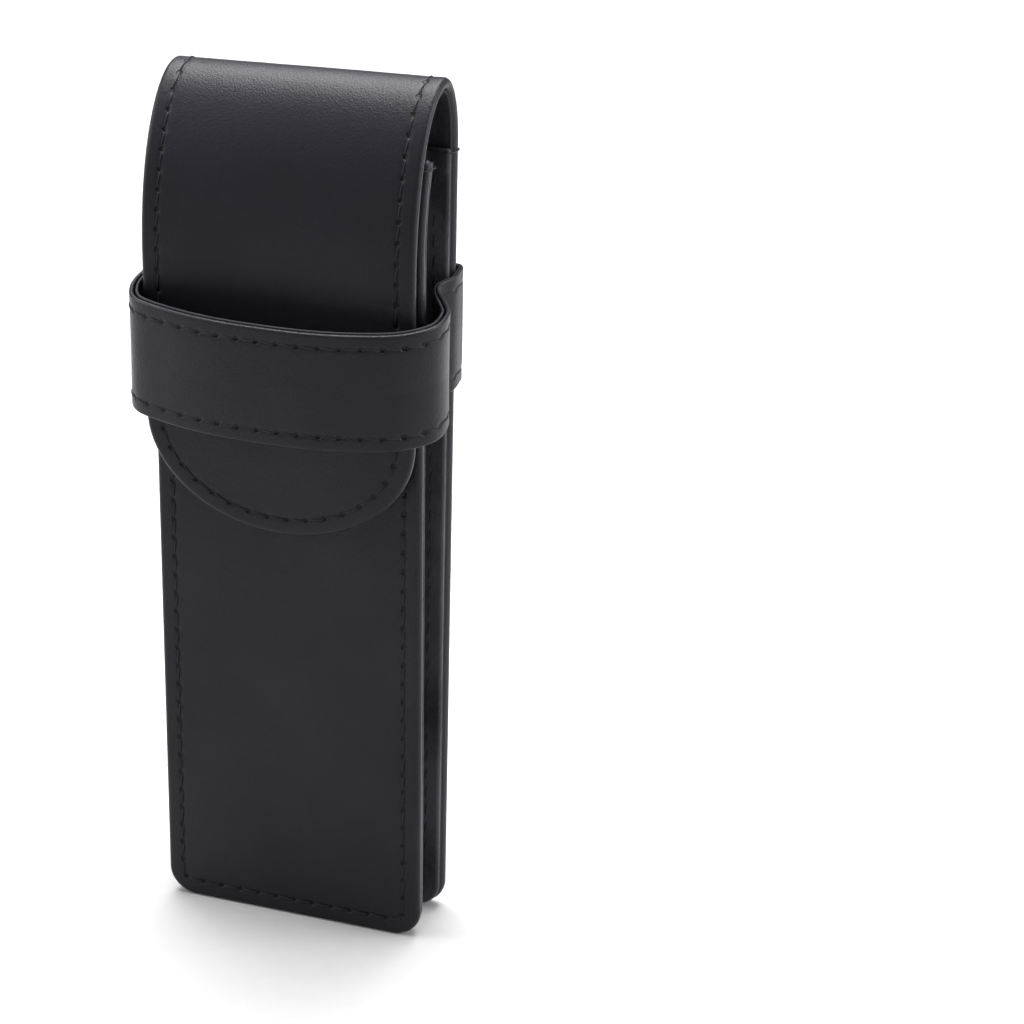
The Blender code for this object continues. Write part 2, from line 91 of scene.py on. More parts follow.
class PenCaseBody(PropertyGroup):
    """Sizes of the panels, the arch and the flap."""

    height: length_property("Body height", "Base to mouth", PANEL_HIGH.z / MM)
    width: length_property("Panel width", "Width of both panels and the flap",
                           (PANEL_HIGH.x - PANEL_LOW.x) / MM)
    base_depth: length_property("Base depth", "Front to back at the base", 15.0)
    full_depth: length_property("Mouth depth", "Front to back at the mouth", 18.0)
    corner: length_property("Corner radius", "Lower corners of both panels", 5.2)
    mouth_corner: length_property("Mouth corner", "Upper corners of the front panel", 1.0)
    foot: length_property("Foot", "The panels stand upright this far", 6.0)
    mouth_lean: length_property("Mouth lean", "The flap presses the mouth back this far", 3.24)
    lean_height: length_property("Lean height", "The panel leans this far below its mouth", 18.0)
    arch_skew: length_property("Arch skew", "The arch sits this much lower on its left", 1.6)
    arch_rise: length_property("Arch rise", "Mouth to the top of the arch", 12.5)
    flap_reach: length_property("Flap reach", "Middle plane to the outside of the flap", 12.8)
    tip_reach: length_property("Tip reach", "Middle plane to the outside of the tip", 12.1)
    bend_height: length_property("Bend height", "The flap hangs straight below this", 130.0)
    tip_height: length_property("Tip height", "Height of the tongue's tip", 79.8)
    tongue_round: length_property("Tongue round", "Height of the tongue's round end", 20.2)
    stack: length_property("Stack", "Thickness of panel, board and lining", 2.7)
    leather: length_property("Leather", "Thickness of the outer leather", 0.9)
    turned: length_property("Turned edge", "Thickness over the turned edge", 2.04)
    lining_top: length_property("Lining face", "Outside to the lining's near face", 2.05)


class PenCaseStrap(PropertyGroup):
    """Sizes of the strap loop."""

    width: length_property("Width", "Upright width of the strap", 21.2)
    top: length_property("Top", "Height of its upper edge on the back panel", 126.8)
    slope: FloatProperty(name="Slope", description="Drop for each metre forward", default=0.16)
    bow: length_property("Bow", "How far the loop bows out past the front panel", 12.7)
    bulge_right: length_property("Right bulge", "How far it bulges past the right side", 4.5)
    bulge_left: length_property("Left bulge", "How far it bulges past the left side", 2.7)
    dip: length_property("Dip", "How far it dips inside the panel's side", 0.7)
    side_gap: length_property("Side gap", "Strap to the panel's edge", 0.12)
    turn: length_property("Turn", "Inside radius of the turn onto the back", 0.7)
    skived: FloatProperty(name="Skived", description="Share of its thickness on the back",
                          default=0.47)
    back_gap: length_property("Back gap", "Room for the back seam", 1.0)
    leather: length_property("Leather", "Thickness of the outer ply", 0.8)
    ply_gap: length_property("Ply gap", "Gap between the plies", 0.3)
    lining: length_property("Lining", "Thickness of the inner ply", 0.5)


class PenCaseGusset(PropertyGroup):
    """Sizes of the gusset."""

    leather: length_property("Leather", "Thickness of the gusset", 0.8)
    clearance: length_property("Clearance", "Gap between flange and lining", 0.02)
    flange_inset: length_property("Flange inset", "Flange edge to panel edge", 0.6)
    flange_width: length_property("Flange width", "Width of each flange", 3.6)
    fold: length_property("Fold radius", "Fold on the pocket side", 2.2)
    bow: length_property("Bow", "How far the web bows into the pocket", 0.5)
    drop: length_property("Drop", "Mouth to the gusset's edge", 1.0)
    corner: length_property("Corner", "Smallest corner radius", 2.5)
    hem: length_property("Hem", "Height of the turned hem at the mouth", 4.2)
    hem_lift: length_property("Hem lift", "Extra thickness of the hem", 0.3)


class PenCaseSeams(PropertyGroup):
    """Stitching."""

    pitch: length_property("Pitch", "One stitch, hole to hole", 3.7)
    thread: length_property("Thread", "Thread diameter", 0.28)
    inset: length_property("Inset", "Seam to the edge of a panel", 3.2)
    strap_inset: length_property("Strap inset", "Seam to the edge of the strap", 2.5)
    trough: length_property("Trough", "How far a seam pulls the leather in", 0.03)
    dimple: length_property("Dimple", "Extra depth at each needle hole", 0.2)
    slant: length_property("Slant", "How far a stitch leans across the seam", 0.2)
    hem_drop: length_property("Hem seam", "Mouth to the seam across the gusset", 3.5)


class PenCaseFinish(PropertyGroup):
    """Colours, as sRGB hex values."""

    leather: colour_property("Leather", "Outer leather", "#19191D")
    leather_light: colour_property("Leather, lighter", "Lighter areas of the leather", "#1E1E23")
    # This colour is a painted highlight on the rounded turned edges.
    edge_highlight: colour_property("Rim", "Burnished turned edges", "#2C2C30")
    lining: colour_property("Lining", "Lining leather", "#202023")
    gusset: colour_property("Gusset", "Gusset leather", "#46464B")
    # This colour is painted shade in the needle holes and along the seam's crease.
    thread: colour_property("Thread", "Sewing thread", "#19191C")
    hole: colour_property("Hole", "Needle holes", "#030303")
    board: colour_property("Board", "Fibre board", "#7B6F60")
    board_light: colour_property("Board, lighter", "Lighter fibres", "#A39684")
    floor: colour_property("Floor", "Studio floor", "#ACACAC")
    floor_light: colour_property("Floor, lighter", "Lighter pulp", "#B2B2B2")


class PenCaseStage(PropertyGroup):
    """Studio light and camera."""

    lens: FloatProperty(name="Lens", description="Focal length", default=113.5,
                        unit="CAMERA")
    surround: FloatProperty(name="Surround", description="Strength of the surround",
                            default=0.2)
    top_light: FloatProperty(name="Top light", description="Power of the top softbox",
                             default=26.0, unit="POWER")
    side_light: FloatProperty(name="Side lights", description="Power of each side softbox",
                              default=6.5, unit="POWER")
    overhead: FloatProperty(name="Overhead", description="Strength of the even overhead light",
                            default=1.7)
    floor_size: FloatProperty(name="Floor size", description="Side of the floor",
                              default=8.0, unit="LENGTH")


class PenCaseSettings(PropertyGroup):
    """All settings of the case."""

    body: PointerProperty(type=PenCaseBody)
    strap: PointerProperty(type=PenCaseStrap)
    gusset: PointerProperty(type=PenCaseGusset)
    seams: PointerProperty(type=PenCaseSeams)
    finish: PointerProperty(type=PenCaseFinish)
    stage: PointerProperty(type=PenCaseStage)


# --- Curves and profiles ----------------------------------------------------------------


def smoothstep(value):
    """3t^2 - 2t^3, with t the value held between 0 and 1."""
    t = np.clip(value, 0.0, 1.0)
    return t * t * (3.0 - 2.0 * t)


def half_depth(body, z):
    """Middle plane to the outside of a panel: constant over the foot, then linear in z."""
    share = np.clip(z - body.foot, 0.0, None) / (body.height - body.foot)
    return (body.base_depth + (body.full_depth - body.base_depth) * share) / 2


def front_face(body, z):
    """Outside of the front panel: minus the half depth, plus a parabola up to the mouth."""
    share = np.clip((z - body.height) / body.lean_height + 1.0, 0.0, None)
    return -half_depth(body, z) + body.mouth_lean * share**2


def running_length(points, closed=False):
    """Length along a chain of points, one value for each point and one more if it closes."""
    if closed:
        points = np.concatenate([points, points[:1]])
    steps = np.linalg.norm(np.diff(points, axis=0), axis=1)
    return np.concatenate([[0.0], np.cumsum(steps)])


def whole_pitches(length, pitch):
    """The number of stitches that fill a length with no remainder."""
    return max(1, round(length / pitch))


class LongStrip:
    """Back panel, arch and flap as one strip, measured by its run along the outside."""

    STAGES = 4
    SAMPLES = 3001

    def __init__(self, body):
        self.body = body
        self.stage = np.linspace(0.0, self.STAGES, self.SAMPLES)
        y, z = self.profile(self.stage, 0.0)
        self.run = running_length(np.stack([y, z], axis=1))
        self.length = self.run[-1]

    def profile(self, stage, depth):
        """(y, z) at a stage 0 to 4 and a depth below the outside.

        Stage 0 to 1 climbs the straight back, 1 to 2 and 2 to 3 are quarter ellipses whose
        semi-axes shrink by the depth, and 3 to 4 goes straight down the hanging flap.
        """
        b = self.body
        share = stage - np.floor(np.clip(stage, 0.0, self.STAGES - 1e-9))
        turn = share * math.pi / 2
        back_z = share * b.height
        reach_back = half_depth(b, b.height) - ARCH_TOP_Y - depth
        reach_front = ARCH_TOP_Y + b.flap_reach - depth
        rise_front = b.height + b.arch_rise - b.bend_height - depth
        hang = share * (b.bend_height - b.tip_height)
        lean = share * (b.flap_reach - b.tip_reach)
        which = [stage < 1.0, stage < 2.0, stage < 3.0]
        y = np.select(which, [
            half_depth(b, back_z) - depth,
            ARCH_TOP_Y + reach_back * np.cos(turn),
            ARCH_TOP_Y - reach_front * np.sin(turn),
        ], -b.flap_reach + lean + depth)
        z = np.select(which, [
            back_z,
            b.height + (b.arch_rise - depth) * np.sin(turn),
            b.bend_height + rise_front * np.cos(turn),
        ], b.bend_height - hang)
        return y, z

    def place(self, x, run, depth):
        """Point of the strip at x across it, a run along it and a depth below its outside.

        The arch is let down on the left: in proportion to x across, eased in with height.
        """
        b = self.body
        y, z = self.profile(np.interp(run, self.run, self.stage), depth)
        share = smoothstep((z - b.bend_height) / (b.height + b.arch_rise - b.bend_height))
        z = z - b.arch_skew * (0.5 - x / b.width) * share
        return np.stack([x, y + BODY_Y, z], axis=-1)


class FrontPanel:
    """The front panel, measured by its height."""

    def __init__(self, body):
        self.body = body
        self.length = body.height

    def place(self, x, run, depth):
        """Point of the panel: its face moved back by the depth."""
        return np.stack([x, front_face(self.body, run) + depth + BODY_Y, run], axis=-1)


class Outline:
    """The flat outline of a sheet: rounded lower corners, straight sides, elliptical end."""

    SMALLEST = 0.3 * MM

    def __init__(self, half, length, corner, end_x, end_run, counts):
        self.half = half
        self.length = length
        self.corner = corner
        self.end_x = end_x
        self.end_run = end_run
        self.base, self.arc, self.side, self.end = counts
        self.top = self.base + self.arc - self.end
        self.across = self.base + self.arc
        self.along = self.arc // 2 + self.side + self.end // 2

    def ring(self, inset):
        """The outline moved inwards by inset, as (x, run) points, anticlockwise.

        The right half is a base line, a quarter circle, a side line, a quarter ellipse and
        a top line, and the left half mirrors it. It starts in the middle of the lower left
        corner.
        """
        half = self.half - inset
        high = self.length - inset
        corner = max(self.corner - inset, self.SMALLEST)
        end_x = max(self.end_x - inset, self.SMALLEST)
        end_run = max(self.end_run - inset, self.SMALLEST)
        base = np.linspace(0.0, half - corner, self.base // 2, endpoint=False)
        turn = np.linspace(0.0, math.pi / 2, self.arc, endpoint=False)
        side = np.linspace(inset + corner, high - end_run, self.side, endpoint=False)
        bend = np.linspace(0.0, math.pi / 2, self.end, endpoint=False)
        top = np.linspace(half - end_x, 0.0, self.top // 2 + 1)
        x = np.concatenate([
            base, half - corner * (1 - np.sin(turn)), np.full(self.side, half),
            half - end_x * (1 - np.cos(bend)), top,
        ])
        run = np.concatenate([
            np.full(len(base), inset), inset + corner * (1 - np.cos(turn)), side,
            high - end_run * (1 - np.sin(bend)), np.full(len(top), high),
        ])
        right = np.stack([x, run], axis=1)
        left = right[1:-1][::-1] * (-1.0, 1.0)
        return np.roll(np.concatenate([right, left]), self.across // 2, axis=0)

    def fill(self, loop):
        """A Coons patch inside a loop.

        It adds the straight blend of the two sides to that of the two ends, and takes off
        the four-corner blend.
        """
        nu, nv = self.across, self.along
        u = np.linspace(0.0, 1.0, nu + 1)[None, :, None]
        v = np.linspace(0.0, 1.0, nv + 1)[:, None, None]
        bottom = loop[:nu + 1]
        right = loop[nu:nu + nv + 1]
        top = loop[nu + nv:2 * nu + nv + 1][::-1]
        left = np.concatenate([loop[2 * nu + nv:], loop[:1]])[::-1]
        sides = (1 - u) * left[:, None] + u * right[:, None]
        ends = (1 - v) * bottom[None] + v * top[None]
        corners = (1 - v) * ((1 - u) * bottom[0] + u * bottom[-1])
        corners = corners + v * ((1 - u) * top[0] + u * top[-1])
        return sides + ends - corners


# --- Meshes -----------------------------------------------------------------------------


def quad_grid(rows, columns, wrap_rows=False, wrap_columns=False):
    """Quads of a grid of points, and the same quads in a grid of map values.

    Points are numbered row by row. A wrapped direction joins its last point to its first,
    and its map values have one more entry for the join.
    """
    r = np.arange(rows if wrap_rows else rows - 1)[:, None]
    c = np.arange(columns if wrap_columns else columns - 1)[None, :]
    wide = columns + int(wrap_columns)
    corners = [(r, c), (r, c + 1), (r + 1, c + 1), (r + 1, c)]
    quads = np.stack([a % rows * columns + b % columns for a, b in corners], axis=-1)
    values = np.stack([a * wide + b for a, b in corners], axis=-1)
    return quads.reshape(-1, 4), values.reshape(-1, 4)


def make_piece(name, points, quads, maps, material):
    """A smooth mesh object from points and quads, turned outwards by its signed volume.

    maps holds, for each map's name, a pair of values for every corner of every quad.
    """
    a, b, c, d = (points[quads[:, i]] for i in range(4))
    volume = np.sum(a * (np.cross(b, c) + np.cross(c, d)))
    order = slice(None) if volume > 0 else slice(None, None, -1)
    quads = np.ascontiguousarray(quads[:, order])
    mesh = bpy.data.meshes.new(name)
    mesh.vertices.add(len(points))
    mesh.vertices.foreach_set("co", points.astype(np.float32).ravel())
    mesh.loops.add(quads.size)
    mesh.loops.foreach_set("vertex_index", quads.astype(np.int32).ravel())
    mesh.polygons.add(len(quads))
    mesh.polygons.foreach_set("loop_start", np.arange(0, quads.size, 4, dtype=np.int32))
    mesh.update(calc_edges=True)
    for map_name, values in maps.items():
        layer = mesh.uv_layers.new(name=map_name)
        layer.data.foreach_set("uv", values[:, order].astype(np.float32).ravel())
    mesh.shade_smooth()
    mesh.materials.append(material)
    obj = bpy.data.objects.new(name, mesh)
    bpy.context.scene.collection.objects.link(obj)
    return obj


def make_shell(name, sheet, outline, section, relief, seam, material):
    """A closed sheet: rings round its edge, with a Coons patch on each face.

    section lists (inset, depth, press) from the outer face round the edge to the inner
    face, and relief gives what is added to the depth where press is 1.
    """
    inset, depth, press = section.T
    edge_run = running_length(section[:, :2])
    unrolled = inset[0] - edge_run
    rings = np.stack([outline.ring(i) for i in inset])
    flat = np.stack([outline.ring(i) for i in unrolled])
    count = rings.shape[1]
    along = seam_run(outline, seam)
    extra = relief(rings[..., 0], rings[..., 1], inset[:, None], along[None, :count])
    points = [sheet.place(rings[..., 0], rings[..., 1],
                          depth[:, None] + press[:, None] * extra).reshape(-1, 3)]
    quads, values = quad_grid(len(inset), count, wrap_columns=True)
    flat = np.concatenate([flat, flat[:, :1]], axis=1).reshape(-1, 2)
    seam_map = np.stack(np.broadcast_arrays(along[None, :], (unrolled - seam.inset)[:, None]),
                        axis=-1).reshape(-1, 2)
    faces = [quads]
    maps = {"flat": [flat[values]], "seam": [seam_map[values]]}
    nu, nv = outline.across, outline.along
    total = len(points[0])
    for end, turned in ((0, False), (len(inset) - 1, True)):
        inside = outline.fill(rings[end])[1:-1, 1:-1].reshape(-1, 2)
        drawn = outline.fill(outline.ring(unrolled[end]))
        pushed = relief(inside[:, 0], inside[:, 1], np.full(len(inside), inset[0]),
                        np.zeros(len(inside)))
        points.append(sheet.place(inside[:, 0], inside[:, 1], depth[end] + press[end] * pushed))
        loop = np.arange(count) + end * count
        grid = np.empty((nv + 1, nu + 1), int)
        grid[0] = loop[:nu + 1]
        grid[:, nu] = loop[nu:nu + nv + 1]
        grid[nv] = loop[nu + nv:2 * nu + nv + 1][::-1]
        grid[:, 0] = np.concatenate([loop[2 * nu + nv:], loop[:1]])[::-1]
        grid[1:-1, 1:-1] = total + np.arange(len(inside)).reshape(nv - 1, nu - 1)
        total += len(inside)
        cells, _ = quad_grid(nv + 1, nu + 1)
        # The bands run from the patch outwards, so the outer patch turns against them.
        order = slice(None) if turned else slice(None, None, -1)
        cells = cells[:, order]
        faces.append(grid.reshape(-1)[cells])
        maps["flat"].append(drawn.reshape(-1, 2)[cells])
        maps["seam"].append(np.broadcast_to((0.0, NO_SEAM), (*cells.shape, 2)))
    maps = {key: np.concatenate(value) for key, value in maps.items()}
    return make_piece(name, np.concatenate(points), np.concatenate(faces), maps, material)


def make_sweep(name, points, maps, material, closed_path, capped=False):
    """A closed profile carried along a path; points is (path, profile, 3).

    An open path is capped by strips of quads across the profile, whose first half faces
    its second half.
    """
    rows, columns = points.shape[:2]
    quads, values = quad_grid(rows, columns, closed_path, True)
    corner_maps = {key: value.reshape(-1, 2)[values] for key, value in maps.items()}
    if capped:
        near = np.arange(columns // 2 - 1)
        far = columns - 1 - near
        strip = np.stack([near, near + 1, far - 1, far], axis=-1)
        last = (rows - 1) * columns
        quads = np.concatenate([quads, strip[:, ::-1], strip + last])
        wide = columns + 1
        ends = np.concatenate([strip[:, ::-1], strip + (rows - 1) * wide])
        corner_maps = {
            key: np.concatenate([corner_maps[key], maps[key].reshape(-1, 2)[ends]])
            for key in maps
        }
    return make_piece(name, points.reshape(-1, 3), quads, corner_maps, material)


# --- Stitching --------------------------------------------------------------------------


def seam_run(outline, seam):
    """Run along the seam's ring, stretched so that a whole number of stitches fills it."""
    run = running_length(outline.ring(seam.inset), closed=True)
    return run * whole_pitches(run[-1], seam.pitch) * seam.pitch / run[-1]


def seam_frame(points, under, closed):
    """Outward normal, and direction across the seam, at each point of a seam.

    The normal points from the matching point under the surface, and the cross direction
    is the cross product of the normal and the tangent.
    """
    normal = points - under
    normal /= np.linalg.norm(normal, axis=1, keepdims=True)
    if closed:
        ring = np.concatenate([points[-1:], points, points[:1]])
        tangent = ring[2:] - ring[:-2]
    else:
        tangent = np.gradient(points, axis=0)
    tangent /= np.linalg.norm(tangent, axis=1, keepdims=True)
    across = np.cross(normal, tangent)
    across /= np.linalg.norm(across, axis=1, keepdims=True)
    return normal, across


# One stitch: share of the pitch, height in thread diameters, and girth, ring by ring.
STITCH_SHARE = np.array([0.035, 0.085, 0.16, 0.30, 0.50, 0.70, 0.84, 0.915, 0.965])
STITCH_HEIGHT = np.array([-1.9, -1.2, -0.5, 0.0, 0.12, 0.0, -0.5, -1.2, -1.9])
STITCH_GIRTH = np.array([0.70, 0.92, 1.0, 1.0, 1.0, 1.0, 1.0, 0.92, 0.70])
THREAD_SIDES = 6


def stitch_points(run, points, normal, across, seam, starts):
    """Tubes from needle hole to needle hole: (stitch, ring, side, 3).

    Each ring is a circle about the seam's line raised by the height profile and moved
    across by the slant, which falls evenly from one hole to the next.
    """
    at = starts[:, None] + STITCH_SHARE[None, :] * seam.pitch

    def along(values):
        return np.stack([np.interp(at, run, values[:, i]) for i in range(3)], axis=-1)

    centre, up, side = along(points), along(normal), along(across)
    radius = seam.thread / 2
    centre = centre + up * (STITCH_HEIGHT * 2 * radius)[None, :, None]
    centre = centre + side * (seam.slant * (1 - 2 * STITCH_SHARE))[None, :, None]
    angle = np.arange(THREAD_SIDES) * 2 * math.pi / THREAD_SIDES
    girth = (radius * STITCH_GIRTH)[None, :, None, None]
    circle = (side[:, :, None] * np.cos(angle)[None, None, :, None]
              + up[:, :, None] * np.sin(angle)[None, None, :, None])
    return centre[:, :, None] + girth * circle


def make_tubes(name, tubes, material):
    """Closed tubes from rings of points (tube, ring, side, 3), each end two quads."""
    count, rings, sides = tubes.shape[:3]
    quads, values = quad_grid(rings, sides, wrap_columns=True)
    half = sides // 2
    cap = np.array([[0, 1, 2, half], [0, half, half + 1, half + 2]])
    one = np.concatenate([quads, cap[:, ::-1], cap + (rings - 1) * sides])
    run = np.linalg.norm(np.diff(tubes.mean(axis=2), axis=1), axis=2)
    run = np.concatenate([np.zeros((count, 1)), np.cumsum(run, axis=1)], axis=1)
    turn = np.broadcast_to(np.arange(sides + 1) / sides, (count, rings, sides + 1))
    grid = np.stack([np.broadcast_to(run[:, :, None], turn.shape), turn], axis=-1)
    grid = grid.reshape(count, -1, 2)
    ends = np.concatenate([cap[:, ::-1], cap + (rings - 1) * (sides + 1)])
    corner_values = np.concatenate([values, ends])
    first = np.arange(count)[:, None, None] * rings * sides
    faces = (one[None] + first).reshape(-1, 4)
    maps = {"twist": grid[:, corner_values].reshape(-1, 4, 2)}
    return make_piece(name, tubes.reshape(-1, 3), faces, maps, material)


def make_stitches(name, run, points, under, seam, material, closed=True, keep=None):
    """A row of stitches along a seam; keep can leave some of them out by their middle."""
    normal, across = seam_frame(points, under, closed)
    if closed:
        points, normal, across = (np.concatenate([v, v[:1]]) for v in (points, normal, across))
    starts = np.arange(whole_pitches(run[-1], seam.pitch)) * seam.pitch
    if keep is not None:
        middles = np.stack([np.interp(starts + seam.pitch / 2, run, points[:, i])
                            for i in range(3)], axis=-1)
        starts = starts[keep(middles)]
    return make_tubes(name, stitch_points(run, points, normal, across, seam, starts), material)


def make_thread(name, path, radius, material, samples=60):
    """One continuous thread through the given points, as a smooth tube.

    The points are joined by a curve whose slope at each is half the step between its
    neighbours, and each ring's frame comes from the tangent and a fixed side direction.
    """
    path = np.asarray(path, float)
    slope = np.gradient(path, axis=0)
    step = np.linspace(0.0, len(path) - 1.0, samples)
    low = np.minimum(step.astype(int), len(path) - 2)
    t = (step - low)[:, None]
    centre = ((2 * t**3 - 3 * t**2 + 1) * path[low] + (t**3 - 2 * t**2 + t) * slope[low]
              + (3 * t**2 - 2 * t**3) * path[low + 1] + (t**3 - t**2) * slope[low + 1])
    tangent = np.gradient(centre, axis=0)
    tangent /= np.linalg.norm(tangent, axis=1, keepdims=True)
    spread = np.ptp(path, axis=0)
    fixed = np.eye(3)[np.argmin(spread)]
    side = np.cross(tangent, fixed)
    side /= np.linalg.norm(side, axis=1, keepdims=True)
    other = np.cross(tangent, side)
    angle = np.arange(THREAD_SIDES) * 2 * math.pi / THREAD_SIDES
    ring = (side[:, None] * np.cos(angle)[None, :, None]
            + other[:, None] * np.sin(angle)[None, :, None])
    return make_tubes(name, (centre[:, None] + radius * ring)[None], material)


# --- Materials --------------------------------------------------------------------------


def linear(hex_value):
    """sRGB hex to linear RGBA."""
    channels = [int(hex_value[i:i + 2], 16) / 255 for i in (1, 3, 5)]
    return (*[c / 12.92 if c <= 0.04045 else ((c + 0.055) / 1.055) ** 2.4
              for c in channels], 1.0)


def add_node(tree, kind, inputs=None, **settings):
    """Adds one node; inputs maps a socket to a value or to the output that feeds it."""
    made = tree.nodes.new(kind)
    for key, value in settings.items():
        setattr(made, key, value)
    for key, value in (inputs or {}).items():
        if isinstance(value, bpy.types.NodeSocket):
            tree.links.new(value, made.inputs[key])
        else:
            made.inputs[key].default_value = value
    return made


def start_material(name, roughness, specular):
    """A material with its Principled shader's constant values set on its sockets."""
    material = bpy.data.materials.new(name)
    material.use_nodes = True
    shader = material.node_tree.nodes["Principled BSDF"]
    shader.inputs["Roughness"].default_value = roughness
    shader.inputs["Specular IOR Level"].default_value = specular
    return material, material.node_tree, shader


def smooth_range(tree, value, start, end, low=0.0, high=1.0):
    """Output of a Map Range node that eases from low at start to high at end."""
    made = add_node(tree, "ShaderNodeMapRange", {
        "Value": value, "From Min": start, "From Max": end, "To Min": low, "To Max": high,
    }, interpolation_type="SMOOTHSTEP")
    return made.outputs["Result"]


def mixed(tree, share, first, second):
    """Colour output of a Mix node from first to second."""
    made = add_node(tree, "ShaderNodeMix", {0: share, 6: first, 7: second}, data_type="RGBA")
    return made.outputs[2]


def maths(tree, operation, *values):
    """Output of a Math node."""
    made = add_node(tree, "ShaderNodeMath", dict(enumerate(values)), operation=operation)
    return made.outputs[0]


# Sizes in sewn leather: the painted shade at needle holes and along seams, the painted
# highlight on turned edges, and the grain; a pair is where a mark is full and where it ends.
HOLE_SHADE = (0.42 * MM, 0.62 * MM)          # radius of the painted shade round a needle hole
CREASE_SHADE = (0.05 * MM, 0.32 * MM)        # distance from the seam of the painted shade in its crease
CREASE_SHADE_SHARE = 0.16
EDGE_HIGHLIGHT = (-2.9 * MM, -3.9 * MM)     # painted highlight on the turned edge, from the seam towards the panel's edge
HOLE_DEPTH = 0.12 * MM
CLOUD = 26 * MM                        # width of a lighter or darker area of the dye
SPECK = 1.6 * MM
PORE_SHARE = 0.55                      # a pore's width as a share of a pebble's
PLY_TURN = 1.2 * MM                    # length in which the plies of a thread turn once


def sewn_leather(name, finish, seams, tone, light, edge_highlight, roughness, specular, grain, depth):
    """Smooth chrome-tanned cowhide, drum-dyed, with a light finish over a fine pressed grain.

    The eye sees near-black leather with soft broad highlights and fine grain. Painted shade
    darkens the needle holes and the crease along each seam, and a painted highlight lightens
    the rounded turned edges.
    grain is the pebble's width in metres. Real pebbles are 0.2 to 0.3 mm wide, and they
    are drawn a little coarser so that they show.
    """
    material, tree, shader = start_material(name, roughness, specular)
    flat = add_node(tree, "ShaderNodeUVMap", uv_map="flat").outputs[0]
    seam = add_node(tree, "ShaderNodeUVMap", uv_map="seam").outputs[0]
    parts = add_node(tree, "ShaderNodeSeparateXYZ", {0: seam})
    nearest = maths(tree, "PINGPONG", parts.outputs[0], seams.pitch / 2)
    spot = add_node(tree, "ShaderNodeCombineXYZ", {0: nearest, 1: parts.outputs[1]}).outputs[0]
    from_hole = add_node(tree, "ShaderNodeVectorMath", {0: spot}, operation="LENGTH")
    # Painted shade: near black round each needle hole and a darker crease along the seam.
    hole = smooth_range(tree, from_hole.outputs["Value"], *HOLE_SHADE, 1.0, 0.0)
    aside = maths(tree, "ABSOLUTE", parts.outputs[1])
    crease = smooth_range(tree, aside, *CREASE_SHADE, CREASE_SHADE_SHARE, 0.0)
    painted_seam_shade = maths(tree, "MAXIMUM", hole, crease)
    # Painted highlight: a lighter colour over the rounded turned edge.
    edge = smooth_range(tree, parts.outputs[1], *EDGE_HIGHLIGHT)

    clouds = add_node(tree, "ShaderNodeTexNoise",
                      {"Vector": flat, "Scale": 1 / CLOUD, "Detail": 3.0}).outputs[0]
    specks = add_node(tree, "ShaderNodeTexNoise",
                      {"Vector": flat, "Scale": 1 / SPECK, "Detail": 4.0}).outputs[0]
    pebbles = add_node(tree, "ShaderNodeTexVoronoi",
                       {"Vector": flat, "Scale": 1 / grain}, feature="SMOOTH_F1").outputs[0]
    pores = add_node(tree, "ShaderNodeTexNoise",
                     {"Vector": flat, "Scale": 1 / (grain * PORE_SHARE), "Detail": 2.0}).outputs[0]

    cloudy = smooth_range(tree, clouds, 0.35, 0.68)
    colour = mixed(tree, cloudy, linear(tone), linear(light))
    colour = mixed(tree, smooth_range(tree, specks, 0.45, 0.75, 0.0, 0.35), colour, linear(tone))
    # The painted highlight goes on the turned edges, then the painted shade on holes and crease.
    colour = mixed(tree, edge, colour, linear(edge_highlight))
    colour = mixed(tree, painted_seam_shade, colour, linear(finish.hole))
    rough = maths(tree, "MULTIPLY_ADD", pores, 0.16, roughness - 0.08)
    rough = maths(tree, "MULTIPLY_ADD", cloudy, -0.05, rough)
    rough = maths(tree, "MULTIPLY_ADD", edge, -0.08, rough)
    height = maths(tree, "MULTIPLY_ADD", pores, 0.6, pebbles)
    height = maths(tree, "MULTIPLY_ADD", specks, 0.3, height)
    fine = add_node(tree, "ShaderNodeBump",
                    {"Height": height, "Strength": 1.0, "Distance": depth})
    pressed = add_node(tree, "ShaderNodeBump", {
        "Height": painted_seam_shade, "Strength": 1.0, "Distance": HOLE_DEPTH, "Normal": fine.outputs[0],
    }, invert=True)
    tree.links.new(colour, shader.inputs["Base Color"])
    tree.links.new(rough, shader.inputs["Roughness"])
    tree.links.new(pressed.outputs[0], shader.inputs["Normal"])
    return material


def polyester_thread(finish):
    """Waxed, twisted three-ply polyester: matt black with a faint spiral of plies."""
    material, tree, shader = start_material("waxed_polyester_thread", 0.55, 0.25)
    twist = add_node(tree, "ShaderNodeUVMap", uv_map="twist").outputs[0]
    parts = add_node(tree, "ShaderNodeSeparateXYZ", {0: twist})
    turned = maths(tree, "MULTIPLY_ADD", parts.outputs[0], 1 / PLY_TURN, parts.outputs[1])
    plies = maths(tree, "PINGPONG", maths(tree, "MULTIPLY", turned, 3.0), 0.5)
    fuzz = add_node(tree, "ShaderNodeTexNoise",
                    {"Vector": twist, "Scale": 1 / (0.2 * MM), "Detail": 3.0}).outputs[0]
    height = maths(tree, "MULTIPLY_ADD", fuzz, 0.4, plies)
    colour = mixed(tree, plies, linear(finish.thread), linear(finish.leather_light))
    bump = add_node(tree, "ShaderNodeBump",
                    {"Height": height, "Strength": 0.8, "Distance": 0.06 * MM})
    rough = maths(tree, "MULTIPLY_ADD", fuzz, 0.2, 0.45)
    tree.links.new(colour, shader.inputs["Base Color"])
    tree.links.new(rough, shader.inputs["Roughness"])
    tree.links.new(bump.outputs[0], shader.inputs["Normal"])
    return material


